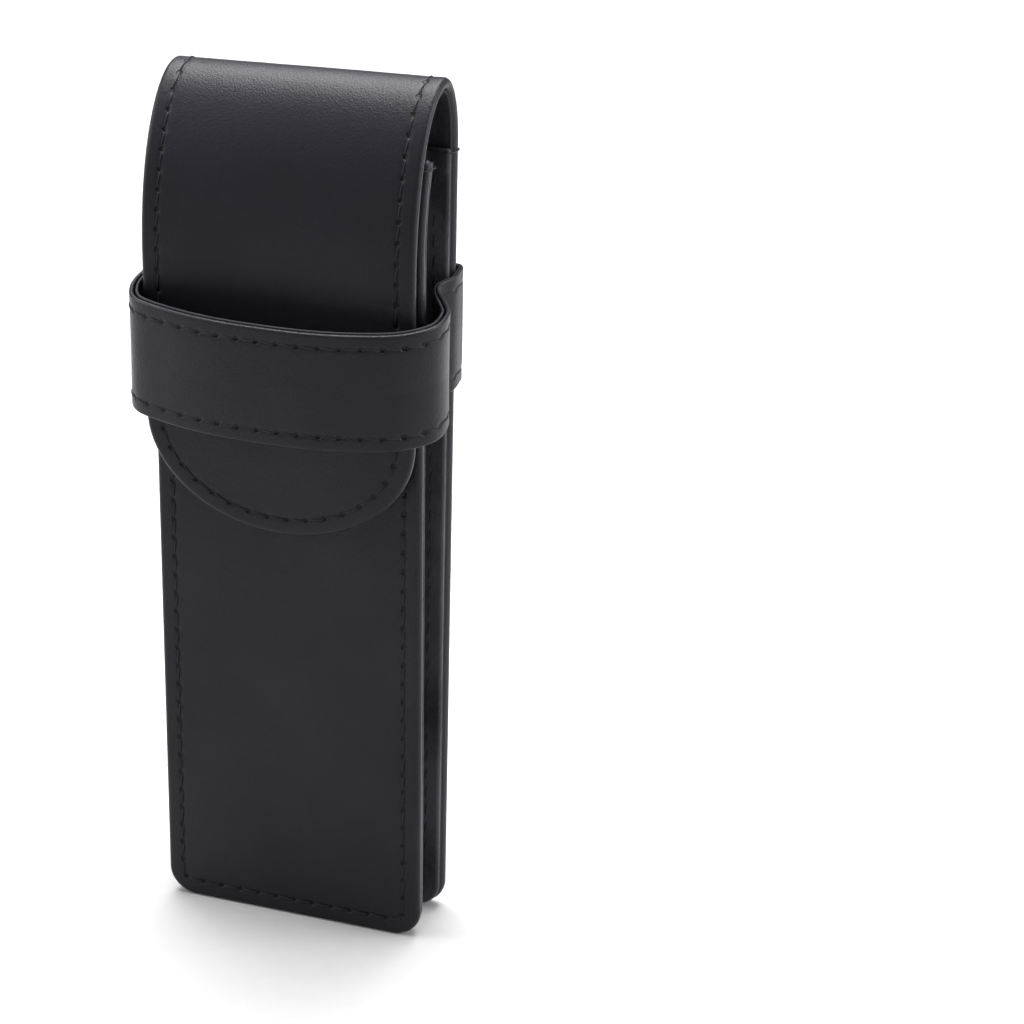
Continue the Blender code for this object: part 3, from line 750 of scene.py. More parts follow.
def fibre_board(finish):
    """Pressed leather-fibre board: dull tan, flecked with fibres a few millimetres long."""
    material, tree, shader = start_material("pressed_fibre_board", 0.9, 0.2)
    place = add_node(tree, "ShaderNodeTexCoord").outputs["Object"]
    longer = add_node(tree, "ShaderNodeMapping", {0: place, "Scale": (1.0, 1.0, 0.3)})
    fibres = add_node(tree, "ShaderNodeTexNoise", {
        "Vector": longer.outputs[0], "Scale": 1 / (0.8 * MM), "Detail": 5.0,
        "Distortion": 1.5,
    }).outputs[0]
    share = smooth_range(tree, fibres, 0.35, 0.7)
    colour = mixed(tree, share, linear(finish.board), linear(finish.board_light))
    bump = add_node(tree, "ShaderNodeBump",
                    {"Height": fibres, "Strength": 0.6, "Distance": 0.1 * MM})
    rough = maths(tree, "MULTIPLY_ADD", fibres, 0.15, 0.8)
    tree.links.new(colour, shader.inputs["Base Color"])
    tree.links.new(rough, shader.inputs["Roughness"])
    tree.links.new(bump.outputs[0], shader.inputs["Normal"])
    return material


def studio_paper(finish):
    """Matt background paper, lit to a plain white, with a barely visible pulp grain."""
    material, tree, shader = start_material("matt_background_paper", 0.85, 0.15)
    place = add_node(tree, "ShaderNodeTexCoord").outputs["Object"]
    pulp = add_node(tree, "ShaderNodeTexNoise",
                    {"Vector": place, "Scale": 1 / (3 * MM), "Detail": 3.0}).outputs[0]
    colour = mixed(tree, pulp, linear(finish.floor), linear(finish.floor_light))
    bump = add_node(tree, "ShaderNodeBump",
                    {"Height": pulp, "Strength": 0.05, "Distance": 0.1 * MM})
    tree.links.new(colour, shader.inputs["Base Color"])
    tree.links.new(bump.outputs[0], shader.inputs["Normal"])
    return material


def material_named(name, make):
    """The material of that name, made the first time it is asked for."""
    return bpy.data.materials.get(name) or make()


def leather_named(name, settings, tone, light, *surface):
    """A sewn leather in a tone of the finish; surface is what sewn_leather ends with."""
    finish = settings.finish
    return material_named(name, lambda: sewn_leather(
        name, finish, settings.seams, getattr(finish, tone), getattr(finish, light),
        finish.edge_highlight, *surface))


def outer_leather(settings):
    return leather_named("drum_dyed_cowhide", settings, "leather", "leather_light",
                         0.44, 0.18, 0.32 * MM, 0.045 * MM)


def strap_leather(settings):
    return leather_named("polished_strap_cowhide", settings, "leather", "leather_light",
                         0.38, 0.2, 0.32 * MM, 0.045 * MM)


def lining_leather(settings):
    return leather_named("split_lining_leather", settings, "lining", "leather_light",
                         0.58, 0.18, 0.5 * MM, 0.05 * MM)


def gusset_leather(settings):
    return leather_named("soft_skived_cowhide", settings, "gusset", "leather",
                         0.48, 0.36, 0.5 * MM, 0.06 * MM)


def sewing_thread(settings):
    return material_named("waxed_polyester_thread", lambda: polyester_thread(settings.finish))


# --- Sections ---------------------------------------------------------------------------


# Insets of the rings on the outer face, closer together at the seam.
FACE_RINGS = np.array([6.0, 5.0, 4.4, 4.0, 3.75, 3.55, 3.4, 3.2, 3.0, 2.85, 2.65, 2.3, 1.8,
                       1.3]) * MM
LINING_RINGS = np.array([6.0, 4.2, 3.6, 3.2, 2.8, 2.0]) * MM
EDGE_ROUND = 1.0 * MM      # how far the rounding of a turned edge reaches onto the face
SKIVED = 0.18 * MM         # thickness of the turn-in
SKIVED_TIP = 0.1 * MM
INNER_FOLD = 1.1 * MM      # the board's edge lies at this inset, inside the fold
INNER_ROUND = 0.2 * MM
TURN_IN = 7.0 * MM
LINING_EDGE = 0.55 * MM    # the lining ends this far inside the edge
HAND_WAVE = 0.03 * MM      # unevenness of a face
WAVE_EASE = 3.0 * MM       # it grows from nothing over this far in from the rounded edge
TROUGH_WIDTH = 0.42 * MM   # half width of a seam's trough


def turned_section(body, turn_in):
    """(inset, depth, press) of an outer leather whose edge is turned over the board.

    The outer face runs out through the seam's trough, goes round the edge as half an
    ellipse, and comes back on the inside as a thin turn-in. The last stretch lies on the
    board side of the outer leather.
    """
    bend = np.radians(np.linspace(0.0, 180.0, 15))
    round_y = body.turned / 2
    inner = np.radians(np.linspace(180.0, 0.0, 7))
    wall = body.leather
    inner_y = (body.turned - SKIVED - wall) / 2
    parts = [
        np.array([(inset, 0.0, 1.0) for inset in FACE_RINGS]),
        np.stack([EDGE_ROUND * (1 - np.sin(bend)), round_y * (1 - np.cos(bend)), 0 * bend], 1),
        np.array([(turn_in - SKIVED_TIP, body.turned, 0.0),
                  (turn_in, body.turned - SKIVED / 2, 0.0),
                  (turn_in - SKIVED_TIP, body.turned - SKIVED, 0.0)]),
        np.stack([INNER_FOLD - INNER_ROUND * np.sin(inner),
                  wall + inner_y * (1 - np.cos(inner)), 0 * inner], 1),
        np.array([(FACE_INSET, wall, 0.0)]),
    ]
    return np.concatenate(parts)


def plate_section(near, far, inset):
    """(inset, depth, press) of a lining with rounded edges, from its near to its far face."""
    bend = np.radians(np.linspace(0.0, 180.0, 9))
    radius = (far - near) / 2
    edge = np.stack([inset + radius * (1 - np.sin(bend)), near + radius * (1 - np.cos(bend)),
                     0 * bend], axis=1)
    steps = LINING_RINGS
    start = np.stack([steps, np.full(len(steps), near), 0 * steps], axis=1)
    end = np.stack([steps[::-1], np.full(len(steps), far), 0 * steps - 1], axis=1)
    return np.concatenate([start, edge, end])


def seam_relief(seams, wave):
    """What the seam and the hand of the leather add to the depth of the outer face.

    A Gaussian trough along the seam deepens at each needle hole as a cosine, and two
    crossed sines of a few centimetres make the broad, faint unevenness.
    """
    def relief(x, run, inset, along):
        across = np.exp(-(((inset - seams.inset) / TROUGH_WIDTH) ** 2))
        holes = (0.5 + 0.5 * np.cos(2 * math.pi * along / seams.pitch)) ** 2
        broad = np.sin(x / (7.1 * MM) + 0.7) * np.sin(run / (9.7 * MM) + 0.4)
        broad = broad + 0.6 * np.sin(run / (5.3 * MM) + x / (13 * MM))
        inside = smoothstep((inset - EDGE_ROUND) / WAVE_EASE)
        return across * (seams.trough + seams.dimple * holes) + wave * (1 + broad) * inside
    return relief


# --- The long strip and the front panel -------------------------------------------------

STRIP_COUNTS = (44, 16, 330, 60)   # points of the base line, a corner, a side, the end
PANEL_COUNTS = (60, 16, 210, 8)


def strip_outline(body):
    sheet = LongStrip(body)
    outline = Outline(body.width / 2, sheet.length, body.corner, body.width / 2,
                      body.tongue_round, STRIP_COUNTS)
    return sheet, outline


def panel_outline(body):
    sheet = FrontPanel(body)
    outline = Outline(body.width / 2, sheet.length, body.corner, body.mouth_corner,
                      body.mouth_corner, PANEL_COUNTS)
    return sheet, outline


def attach_to_case(obj, slot, *nodes):
    """Fixes a piece to the case, in the place of CAD nodes."""
    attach(obj, "case")
    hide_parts(*nodes)


def bend_with_flap(obj):
    """Bakes a piece's placement into its mesh points."""
    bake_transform(obj)


class PENCASE_OT_long_strip(Operator):
    """Build the back panel, arch and flap: one outer leather and one lining"""

    bl_idname = "pencase.long_strip"
    bl_label = "Back, Arch and Flap"

    def execute(self, context):
        settings = context.scene.pen_case
        body, seams = settings.body, settings.seams
        sheet, outline = strip_outline(body)
        leather = make_shell("back_and_flap_leather", sheet, outline,
                             turned_section(body, TURN_IN), seam_relief(seams, HAND_WAVE),
                             seams, outer_leather(settings))
        bend_with_flap(leather)
        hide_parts("back_panel_leather", "flap_leather")
        lining = make_shell("back_and_flap_lining", sheet, outline,
                            plate_section(body.lining_top, body.stack, LINING_EDGE),
                            seam_relief(seams, 0.0), seams, lining_leather(settings))
        bend_with_flap(lining)
        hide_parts("back_panel_lining", "flap_lining")
        return {"FINISHED"}


class PENCASE_OT_front_panel(Operator):
    """Build the front panel's leather and lining"""

    bl_idname = "pencase.front_panel"
    bl_label = "Front Panel"

    def execute(self, context):
        settings = context.scene.pen_case
        body, seams = settings.body, settings.seams
        sheet, outline = panel_outline(body)
        leather = make_shell("front_leather", sheet, outline, turned_section(body, TURN_IN),
                             seam_relief(seams, HAND_WAVE), seams, outer_leather(settings))
        attach_to_case(leather, "leather", "front_panel_leather")
        lining = make_shell("front_lining", sheet, outline,
                            plate_section(body.lining_top, body.stack, LINING_EDGE),
                            seam_relief(seams, 0.0), seams, lining_leather(settings))
        attach_to_case(lining, "lining", "front_panel_lining")
        return {"FINISHED"}


# --- Gusset -----------------------------------------------------------------------------

GUSSET_SIDE = 190
GUSSET_ARC = 14
GUSSET_BASE = 46
GUSSET_WEB = 9
GUSSET_RIM = 0.16 * MM
CREASE_DEPTH = 0.16 * MM   # soft creases across the web, sampled every CREASE_STEP
CREASE_STEP = 0.75
HEM_EASE = 0.4 * MM        # the hem's extra thickness fades out over this height


def gusset_path(body, gusset, inset):
    """(x, z) down the left side, along the base and up the right, for arrays of insets.

    Two straight sides and a base joined by quarter circles, whose radius shrinks with the
    inset. The result is (path, inset).
    """
    inset = np.asarray(inset, float)
    radius = np.maximum(body.corner - inset, gusset.corner)
    side = body.width / 2 - inset
    top = body.height - gusset.drop
    share = np.linspace(0.0, 1.0, GUSSET_SIDE, endpoint=False)[:, None]
    foot = (inset + radius)[None, :]
    side_z = top + (foot - top) * share
    turn = np.linspace(0.0, math.pi / 2, GUSSET_ARC, endpoint=False)[:, None]
    arc_x = -(side - radius) - radius * np.cos(turn)
    arc_z = inset + radius * (1 - np.sin(turn))
    base_x = -(side - radius) * np.linspace(1.0, 0.0, GUSSET_BASE // 2 + 1)[:, None]
    left_x = np.concatenate([np.broadcast_to(-side, side_z.shape), arc_x, base_x])
    left_z = np.concatenate([side_z, arc_z, np.broadcast_to(inset, base_x.shape)])
    x = np.concatenate([left_x, -left_x[-2::-1]])
    z = np.concatenate([left_z, left_z[-2::-1]])
    return x, z


def gusset_section(gusset, offset, web_steps):
    """(inset, distance from the wall, share from the front wall to the back wall).

    Flange, quarter fold and web of the front half, then their mirror. In the web the
    distance counts from the front wall up to the middle and from the back wall after it.
    """
    flange = np.linspace(0.0, 1.0, 7)[:-1]
    turn = np.linspace(0.0, math.pi / 2, 8)
    reach = gusset.fold - offset
    end = gusset.flange_inset + gusset.flange_width
    inset = np.concatenate([gusset.flange_inset + gusset.flange_width * flange,
                            end + reach * np.sin(turn)])
    distance = np.concatenate([np.full(len(flange), offset), gusset.fold - reach * np.cos(turn)])
    share = np.linspace(0.0, 1.0, web_steps + 2)[1:-1]
    web = end + reach + gusset.bow * (1 - (2 * share - 1) ** 2)
    full = np.concatenate([inset, web, inset[::-1]])
    away = np.concatenate([distance, np.full(web_steps, gusset.fold), distance[::-1]])
    part = np.concatenate([np.zeros(len(inset)), share, np.ones(len(inset))])
    return full, away, part


def gusset_surface(settings, offset, lift=0.0):
    """Points (path, section, 3) of one face of the gusset, offset from its pocket side.

    The web carries soft creases: sines along the path, strongest in mid-web. lift adds a
    hem on the recess side near the mouth.
    """
    body, gusset = settings.body, settings.gusset
    inset, away, part = gusset_section(gusset, offset, GUSSET_WEB)
    x, z = gusset_path(body, gusset, inset)
    clear = body.stack + gusset.clearance + away
    y = (front_face(body, z) + clear) * (1 - part) + (half_depth(body, z) - clear) * part
    middle = 4 * part * (1 - part)
    run = np.arange(len(x))[:, None] * CREASE_STEP
    crease = CREASE_DEPTH * middle * (np.sin(run / 3.1) * np.sin(run / 7.3 + 1.0)
                                      + 0.5 * np.sin(run / 1.7 + part * 2.0))
    hem = lift * smoothstep((z - (body.height - gusset.drop - gusset.hem)) / HEM_EASE)
    outward = np.sign(x)
    web = smoothstep((inset - gusset.flange_inset - gusset.flange_width) / gusset.fold)
    x = x + outward * (hem * web - crease)
    y = y + hem * (1 - web) * np.where(part < 0.5, 1.0, -1.0)
    return np.stack([x, y + BODY_Y, z], axis=-1)


def rounded_rim(edge, inside):
    """The middle of a flange's edge, pushed outwards so that the edge reads as rounded."""
    step = edge - inside
    return edge + step / np.linalg.norm(step, axis=1, keepdims=True) * GUSSET_RIM


class PENCASE_OT_gusset(Operator):
    """Build the gusset, a channel of thin leather round three sides"""

    bl_idname = "pencase.gusset"
    bl_label = "Gusset"

    def execute(self, context):
        settings = context.scene.pen_case
        gusset = settings.gusset
        pocket = gusset_surface(settings, 0.0)
        recess = gusset_surface(settings, gusset.leather, gusset.hem_lift)
        middle = gusset_surface(settings, gusset.leather / 2)
        front_rim = rounded_rim(middle[:, 0], middle[:, 1])
        back_rim = rounded_rim(middle[:, -1], middle[:, -2])
        loop = np.concatenate([pocket, back_rim[:, None], recess[:, ::-1], front_rim[:, None]],
                              axis=1)
        along = running_length(pocket[:, pocket.shape[1] // 2])
        around = running_length(loop[0], closed=True)
        flat = np.stack(np.broadcast_arrays(along[:, None], around[None, :]), axis=-1)
        seam = np.stack([flat[..., 1], np.full_like(flat[..., 1], NO_SEAM)], axis=-1)
        obj = make_sweep("gusset_leather", loop, {"flat": flat, "seam": seam},
                         gusset_leather(settings), closed_path=False, capped=True)
        attach_to_case(obj, "gusset_leather", "gusset")
        return {"FINISHED"}


# --- Strap ------------------------------------------------------------------------------

STRAP_STEPS = 14           # points between neighbouring control points of the loop
STRAP_ARC = 14
STRAP_BACK = 60
# Shares of the half width and of the bow's depth, from the middle of the front round a side.
STRAP_BOW = ((-0.37, 0.03), (0.0, 0.0), (0.37, 0.03), (0.71, 0.15), (0.98, 0.34))
STRAP_SIDE = ((0.985, 0.69), (1.0, 1.12))
# The turn between the panels, as shares of the side bulge and of the room between flanges.
BULGE_END = (0.55, -0.62)
PINCH_DEPTH = 0.25
PINCH_END = 1.03
SKIVE_FROM = -3.0 * MM     # front to back, the strap grows thinner from here
SKIVE_RUN = 4.5 * MM       # over this depth
STRAP_RINGS = np.array([8.0, 6.0, 4.4, 3.6, 3.2, 2.95, 2.75, 2.5, 2.25, 2.05, 1.8, 1.4,
                        0.9]) * MM
STRAP_TROUGH = 0.4 * MM    # half width of the seam's trough
STRAP_SWELL = 0.1 * MM     # depth of the strap's broad waves
STRAP_WAVES = 5            # how many there are round the loop
INNER_FACE_SHIFT = 0.9 * MM
SEAM_UNDER = 1.0 * MM      # depth of the points that tell a seam's normal


def catmull_rom(points, steps):
    """A curve through all points but the first and last, steps points to each stretch.

    Each stretch is the cubic whose end slopes are half the step between its neighbours.
    """
    before, start, end, after = points[:-3], points[1:-2], points[2:-1], points[3:]
    t = (np.arange(steps) / steps)[None, :, None]
    before, start, end, after = (p[:, None] for p in (before, start, end, after))
    curve = 0.5 * (2 * start + (end - before) * t
                   + (2 * before - 5 * start + 4 * end - after) * t**2
                   + (3 * start - before - 3 * end + after) * t**3)
    return np.concatenate([curve.reshape(-1, 2), points[-2:-1]])


def strap_loop(settings):
    """Outside of the strap as a closed path (x, y), from the front round the right side."""
    body, strap = settings.body, settings.strap
    middle_z = strap.top - strap.width / 2
    half = body.width / 2
    stack = (strap.leather + strap.ply_gap + strap.lining) * strap.skived
    corner = stack + strap.turn
    lap = half + stack + strap.side_gap
    front = float(front_face(body, middle_z)) - strap.bow
    rear = float(half_depth(body, middle_z))
    flange = rear - body.stack - settings.gusset.clearance - settings.gusset.leather
    back = rear + strap.back_gap + stack
    bow = [(across * half, front + deep * strap.bow) for across, deep in STRAP_BOW]
    halves = []
    for bulge in (strap.bulge_right, strap.bulge_left):
        side = half + bulge
        knots = bow + [(across * side, front + deep * strap.bow) for across, deep in STRAP_SIDE]
        knots += [(half + BULGE_END[0] * bulge, BULGE_END[1] * flange),
                  (half - strap.dip, PINCH_DEPTH * flange), (lap, PINCH_END * flange),
                  (lap, back - corner), (lap, back)]
        curve = catmull_rom(np.array(knots), STRAP_STEPS)
        turn = np.linspace(0.0, math.pi / 2, STRAP_ARC)[1:]
        arc = np.stack([lap - corner * (1 - np.cos(turn)),
                        back - corner * (1 - np.sin(turn))], axis=1)
        rear_x = np.linspace(lap - corner, 0.0, STRAP_BACK // 2 + 1)[1:]
        rear_line = np.stack([rear_x, np.full(len(rear_x), back)], axis=1)
        halves.append(np.concatenate([curve, arc, rear_line]))
    right, left = halves
    return np.concatenate([right, left[1:-1][::-1] * (-1.0, 1.0)])


def even_loop(path, count):
    """The same closed path at evenly spaced points."""
    run = running_length(path, closed=True)
    closed = np.concatenate([path, path[:1]])
    at = np.linspace(0.0, run[-1], count, endpoint=False)
    return np.stack([np.interp(at, run, closed[:, i]) for i in range(2)], axis=1)


def loop_inward(path):
    """Unit directions into a closed loop that runs anticlockwise."""
    ahead = np.roll(path, -1, axis=0) - np.roll(path, 1, axis=0)
    ahead /= np.linalg.norm(ahead, axis=1, keepdims=True)
    return np.stack([-ahead[:, 1], ahead[:, 0]], axis=1)


def strap_point(settings, path, inward, drop, depth):
    """Point of the strap: the path moved in by the depth, at a height that slopes with y.

    The depth eases to its skived share where the strap turns between the panels.
    """
    strap = settings.strap
    eased = smoothstep((path[..., 1] - SKIVE_FROM) / SKIVE_RUN)
    depth = depth * (1 - (1 - strap.skived) * eased)
    xy = path + inward * depth[..., None]
    z = strap.top - drop + strap.slope * (xy[..., 1] - settings.body.full_depth / 2)
    return np.concatenate([xy + (0.0, BODY_Y), z[..., None]], axis=-1)


def strap_section(width, thickness, near):
    """(drop, depth) once round a ply: faces joined by half-round edges.

    It starts in the middle of the outer face and goes over the upper edge.
    """
    radius = thickness / 2
    bend = np.radians(np.linspace(0.0, 180.0, 11))
    edge_drop = radius * (1 - np.sin(bend))
    edge_depth = near + radius * (1 - np.cos(bend))
    far = np.full(len(STRAP_RINGS), near + thickness)
    upper = np.concatenate([
        [(width / 2, near)], np.stack([STRAP_RINGS, far - thickness], 1),
        np.stack([edge_drop, edge_depth], 1), np.stack([STRAP_RINGS[::-1], far], 1),
        [(width / 2, near + thickness)],
    ])
    lower = upper[1:-1][::-1] * (-1.0, 1.0) + (width, 0.0)
    return np.concatenate([upper, lower])


STRAP_POINTS = 560


def strap_ply(settings, path, inward, run, near, thickness):
    """Points and maps of one ply, near and thickness deep below the loop's outside.

    The outer ply is pulled in along its seams as a Gaussian, deeper at each needle hole as a
    cosine, and both plies swell as sines round the loop and across the strap.
    """
    strap, seams = settings.strap, settings.seams
    section = strap_section(strap.width, thickness, near)
    drop, depth = section.T
    to_seam = np.minimum(drop, strap.width - drop) - seams.strap_inset
    faces_out = depth < near + thickness / 4
    holes = (0.5 + 0.5 * np.cos(2 * math.pi * run[:-1] / seams.pitch)) ** 2
    pull = np.exp(-((to_seam / STRAP_TROUGH) ** 2)) * faces_out * (near == 0.0)
    pull = pull[None, :] * (seams.trough + seams.dimple * holes[:, None])
    swell = np.sin(2 * math.pi * STRAP_WAVES * run[:-1] / run[-1])[:, None]
    swell = STRAP_SWELL * swell * np.sin(math.pi * drop / strap.width)[None, :]
    moved = depth[None, :] + pull + swell
    points = strap_point(settings, path[:, None], inward[:, None],
                         np.broadcast_to(drop, moved.shape), moved)
    around = running_length(section, closed=True)
    # Faces that look inwards are kept off the seam's holes.
    off_seam = to_seam - INNER_FACE_SHIFT * (depth > near + thickness / 4)
    maps = {
        "flat": np.stack(np.broadcast_arrays(run[:, None], around[None, :]), -1),
        "seam": np.stack(np.broadcast_arrays(run[:, None],
                                             np.append(off_seam, to_seam[0])[None, :]), -1),
    }
    return points, maps


class PENCASE_OT_strap(Operator):
    """Build the strap loop's two plies"""

    bl_idname = "pencase.strap"
    bl_label = "Strap"

    def execute(self, context):
        settings = context.scene.pen_case
        strap, seams = settings.strap, settings.seams
        path = even_loop(strap_loop(settings), STRAP_POINTS)
        inward = loop_inward(path)
        run = running_length(path, closed=True)
        stitches = whole_pitches(run[-1], seams.pitch)
        run = run * stitches * seams.pitch / run[-1]
        plies = (
            ("strap_outer_ply", 0.0, strap.leather, strap_leather, "leather", "strap_leather"),
            ("strap_inner_ply", strap.leather + strap.ply_gap, strap.lining, lining_leather,
             "lining", "strap_lining"),
        )
        for name, near, thickness, material, slot, node in plies:
            points, maps = strap_ply(settings, path, inward, run, near, thickness)
            obj = make_sweep(name, points, maps, material(settings), closed_path=True)
            attach_to_case(obj, slot, node)
        for name, drop, node in (
            ("strap_upper_stitches", seams.strap_inset, "strap_upper_thread"),
            ("strap_lower_stitches", strap.width - seams.strap_inset, "strap_lower_thread"),
        ):
            drops = np.full(len(path), drop)
            top = strap_point(settings, path, inward, drops,
                              np.full(len(path), seams.trough * 0.5))
            under = strap_point(settings, path, inward, drops,
                                np.full(len(path), SEAM_UNDER))
            under[:, 2] = top[:, 2]
            obj = make_stitches(name, run, top, under, seams, sewing_thread(settings))
            attach_to_case(obj, "thread", node)
        return {"FINISHED"}


# --- Stitching of the body --------------------------------------------------------------

TACK_DROP = 1.6 * MM       # edge stitches to the mouth
TACK_INSET = 2.0 * MM      # edge stitches run this far in from the panel's edge
TACK_SINK = 0.4 * MM       # their ends go this far into the leather, and further in
TACK_BEND = 0.7 * MM       # they leave the face here
TACK_ROUND = 0.8 * MM      # and lie on the edge from this depth
TACK_RINGS = 48
HEM_STITCH = 0.7           # a hem stitch is this share of a seam's
HEM_MARGIN = 4             # points of the gusset's section left out at each flange


def ring_seam(sheet, outline, seams):
    """Points of a panel's seam, the points under them, and the run along it."""
    ring = outline.ring(seams.inset)
    top = sheet.place(ring[:, 0], ring[:, 1], np.full(len(ring), seams.trough * 0.5))
    under = sheet.place(ring[:, 0], ring[:, 1], np.full(len(ring), SEAM_UNDER))
    return top, under, seam_run(outline, seams)


class PENCASE_OT_stitching(Operator):
    """Build the stitches of the panels, the flap and the gusset"""

    bl_idname = "pencase.stitching"
    bl_label = "Stitching"

    def execute(self, context):
        settings = context.scene.pen_case
        body, seams = settings.body, settings.seams
        thread = sewing_thread(settings)
        sheet, outline = strip_outline(body)
        top, under, run = ring_seam(sheet, outline, seams)
        obj = make_stitches("back_and_flap_stitches", run, top, under, seams, thread)
        bend_with_flap(obj)
        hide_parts("back_seam_thread", "flap_seam_thread")
        sheet, outline = panel_outline(body)
        top, under, run = ring_seam(sheet, outline, seams)
        obj = make_stitches("front_stitches", run, top, under, seams, thread)
        attach_to_case(obj, "thread", "front_seam_thread", "front_mouth_thread")
        self.flange_threads(settings, thread)
        self.bartacks(settings, thread)
        return {"FINISHED"}

    def flange_threads(self, settings, thread):
        """The lower threads, which wander a little on the gusset's flanges."""
        body, gusset, seams = settings.body, settings.gusset, settings.seams
        x, z = gusset_path(body, gusset, np.array([seams.inset]))
        x, z = x[:, 0], z[:, 0]
        clear = body.stack + gusset.clearance + gusset.leather
        for name, wall, inward, node in (
            ("front_flange_stitches", front_face(body, z), 1.0, "front_flange_thread"),
            ("back_flange_stitches", half_depth(body, z), -1.0, "back_flange_thread"),
        ):
            points = np.stack([x, wall + inward * clear + BODY_Y, z], axis=-1)
            under = points - (0.0, inward * SEAM_UNDER, 0.0)
            run = running_length(points)
            run = run * whole_pitches(run[-1], seams.pitch) * seams.pitch / run[-1]
            inside = body.height - seams.hem_drop
            obj = make_stitches(name, run, points, under, seams, thread, closed=False,
                                keep=lambda middle, inside=inside: middle[:, 2] < inside)
            attach_to_case(obj, "thread", node)

    def bartacks(self, settings, thread):
        """Threads over the panels' edges at the mouth, and across the gusset's hem."""
        body, gusset, seams = settings.body, settings.gusset, settings.seams
        half = body.width / 2
        z = body.height - TACK_DROP
        lift = seams.thread / 2
        edge = half + lift
        panels = (("front", float(front_face(body, z)), 1.0),
                  ("back", float(half_depth(body, z)), -1.0))
        for side, word in ((-1.0, "left"), (1.0, "right")):
            for place, face, inward in panels:
                outer = face - inward * lift
                inner = face + inward * (body.stack + gusset.clearance + gusset.leather + lift)
                middle = (outer + inner) / 2
                over = [(half - TACK_INSET - TACK_SINK, outer + inward * TACK_SINK),
                        (half - TACK_INSET, outer), (half - TACK_BEND, outer),
                        (edge, outer + inward * TACK_ROUND)]
                back = [(across, 2 * middle - deep) for across, deep in over[::-1]]
                path = [(side * a, b + BODY_Y, z) for a, b in [*over, (edge, middle), *back]]
                obj = make_thread(f"{place}_{word}_edge_stitch", path, lift, thread, TACK_RINGS)
                attach_to_case(obj, "thread", f"{place}_{word}_bartack")
            self.hem(settings, side, word, thread)

    def hem(self, settings, side, word, thread):
        """Stitches across the gusset's web on its recess side."""
        body, gusset, seams = settings.body, settings.gusset, settings.seams
        face = gusset_surface(settings, gusset.leather, gusset.hem_lift)
        below = gusset_surface(settings, 0.0)
        half_count = face.shape[0] // 2
        heights = face[:half_count, face.shape[1] // 2, 2]
        row = int(np.argmin(np.abs(heights - (body.height - seams.hem_drop))))
        pick = slice(HEM_MARGIN, -HEM_MARGIN)
        points = face[row, pick] * (-side, 1.0, 1.0)
        under = below[row, pick] * (-side, 1.0, 1.0)
        points[:, 2] = points[:, 2].mean()
        under[:, 2] = points[:, 2]
        run = running_length(points)
        count = whole_pitches(run[-1], HEM_STITCH * seams.pitch)
        run = run * count * seams.pitch / run[-1]
        obj = make_stitches(f"{word}_hem_stitches", run, points, under, seams, thread,
                            closed=False)
        attach_to_case(obj, "thread", f"{word}_gusset_mouth_thread")


class PENCASE_OT_boards(Operator):
    """Give the stiffener boards their finish"""

    bl_idname = "pencase.boards"
    bl_label = "Stiffener Boards"

    def execute(self, context):
        board = material_named("pressed_fibre_board",
                               lambda: fibre_board(context.scene.pen_case.finish))
        for name in ("front_panel_stiffener", "back_panel_stiffener", "flap_stiffener"):
            obj = frame["nodes"][name]
            obj.data.materials.clear()
            obj.data.materials.append(board)
        return {"FINISHED"}


# --- Stage ------------------------------------------------------------------------------

CAMERA_PLACE = (0.2105, -0.4915, 0.3088)
CAMERA_TURN = (66.990, -1.120, 19.474)     # degrees about X, Y and Z
# Each softbox: place and size.
TOP_BOX = ((-0.10, 0.25, 0.95), 0.8)
LIGHT_TARGET = (0.0, 0.0, 0.09)
FLOOR_CELLS = 8
OVERHEAD_SPREAD = 50.0     # degrees across the overhead light, as seen from the case
SIDE_BOXES = (((-0.85, -0.25, 0.45), 0.6), ((0.75, 0.15, 0.40), 0.5))


def softbox(name, place, size, power):
    """A square area light that faces the case."""
    light = bpy.data.lights.new(name, "AREA")
    light.energy = power
    light.size = size
    obj = bpy.data.objects.new(name, light)
    bpy.context.scene.collection.objects.link(obj)
    obj.location = place
    toward = Vector(LIGHT_TARGET) - Vector(place)
    obj.rotation_euler = toward.to_track_quat("-Z", "Y").to_euler()


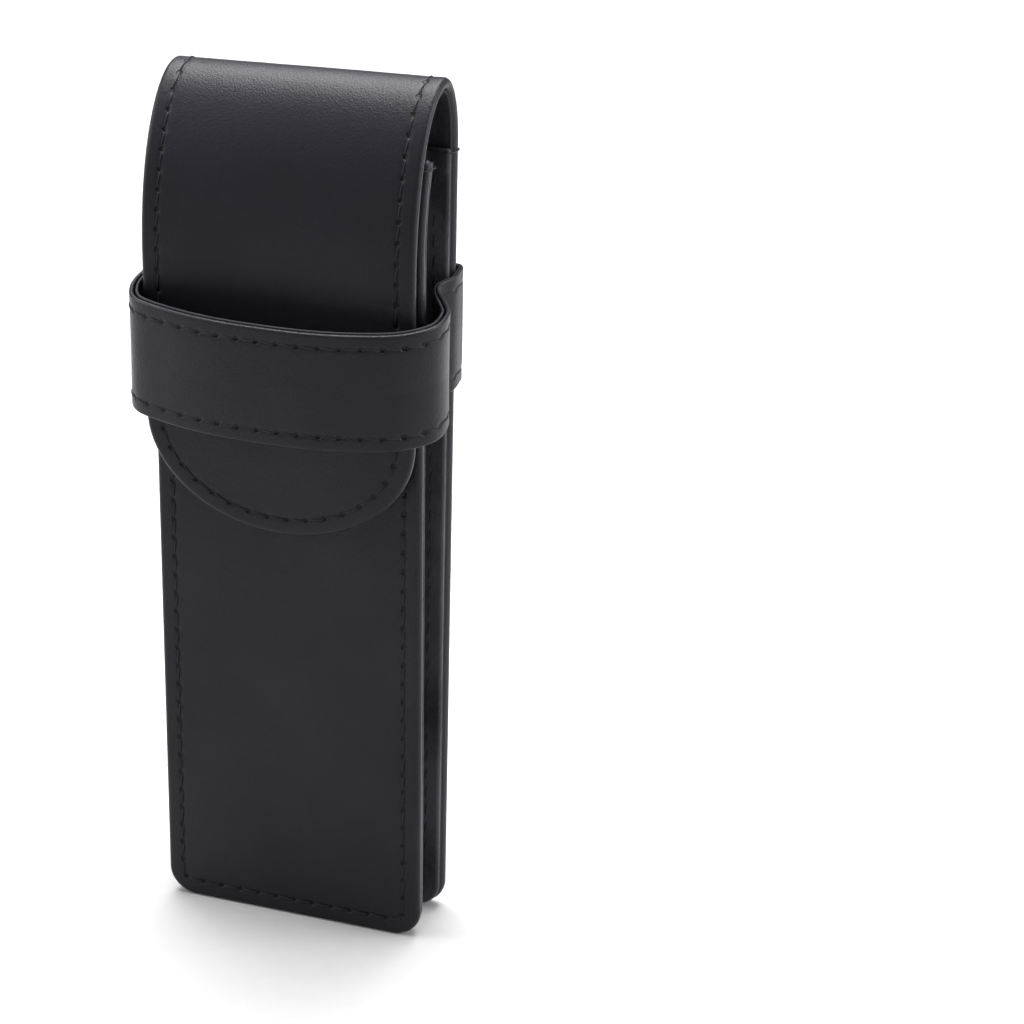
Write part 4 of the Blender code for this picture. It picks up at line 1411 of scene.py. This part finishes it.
class PENCASE_OT_stage(Operator):
    """Set the floor, the studio light and the camera"""

    bl_idname = "pencase.stage"
    bl_label = "Stage"

    def execute(self, context):
        settings = context.scene.pen_case
        stage = settings.stage
        half = stage.floor_size / 2
        line = np.linspace(-half, half, FLOOR_CELLS + 1)
        u, v = np.meshgrid(line, line, indexing="xy")
        points = np.stack([u, v, np.zeros_like(u)], axis=-1).reshape(-1, 3)
        mesh = bpy.data.meshes.new("studio_floor")
        quads, _ = quad_grid(FLOOR_CELLS + 1, FLOOR_CELLS + 1)
        mesh.from_pydata(points.tolist(), [], quads.tolist())
        mesh.materials.append(studio_paper(settings.finish))
        floor = bpy.data.objects.new("studio_floor", mesh)
        context.scene.collection.objects.link(floor)
        softbox("top_softbox", *TOP_BOX, stage.top_light)
        for index, (place, size) in enumerate(SIDE_BOXES):
            softbox(f"side_softbox_{index}", place, size, stage.side_light)
        overhead = bpy.data.lights.new("overhead_light", "SUN")
        overhead.energy = stage.overhead
        overhead.angle = math.radians(OVERHEAD_SPREAD)
        context.scene.collection.objects.link(bpy.data.objects.new("overhead_light", overhead))
        world = bpy.data.worlds.new("white_surround")
        world.use_nodes = True
        surround = world.node_tree.nodes["Background"]
        surround.inputs["Color"].default_value = (1.0, 1.0, 1.0, 1.0)
        surround.inputs["Strength"].default_value = stage.surround
        context.scene.world = world
        context.scene.view_settings.view_transform = "Standard"
        camera = bpy.data.cameras.new("camera")
        camera.lens = stage.lens
        camera.clip_start = 0.01
        obj = bpy.data.objects.new("camera", camera)
        context.scene.collection.objects.link(obj)
        obj.location = CAMERA_PLACE
        obj.rotation_euler = Euler([math.radians(a) for a in CAMERA_TURN])
        context.scene.camera = obj
        return {"FINISHED"}


class PENCASE_PT_panel(Panel):
    """Lists the pieces in the order they are built"""

    bl_idname = "PENCASE_PT_panel"
    bl_label = "Fountain Pen Case"
    bl_space_type = "VIEW_3D"
    bl_region_type = "UI"
    bl_category = "Pen Case"

    def draw(self, context):
        for operator in OPERATORS:
            self.layout.operator(operator.bl_idname)


OPERATORS = (
    PENCASE_OT_long_strip,
    PENCASE_OT_front_panel,
    PENCASE_OT_gusset,
    PENCASE_OT_strap,
    PENCASE_OT_stitching,
    PENCASE_OT_boards,
    PENCASE_OT_stage,
)
CLASSES = (
    PenCaseBody,
    PenCaseStrap,
    PenCaseGusset,
    PenCaseSeams,
    PenCaseFinish,
    PenCaseStage,
    PenCaseSettings,
    *OPERATORS,
    PENCASE_PT_panel,
)


def register():
    for cls in CLASSES:
        bpy.utils.register_class(cls)
    bpy.types.Scene.pen_case = PointerProperty(type=PenCaseSettings)


def unregister():
    del bpy.types.Scene.pen_case
    for cls in reversed(CLASSES):
        bpy.utils.unregister_class(cls)


def main():
    register()
    for operator in OPERATORS:
        group, action = operator.bl_idname.split(".")
        getattr(getattr(bpy.ops, group), action)()


if __name__ == "__main__":
    main()
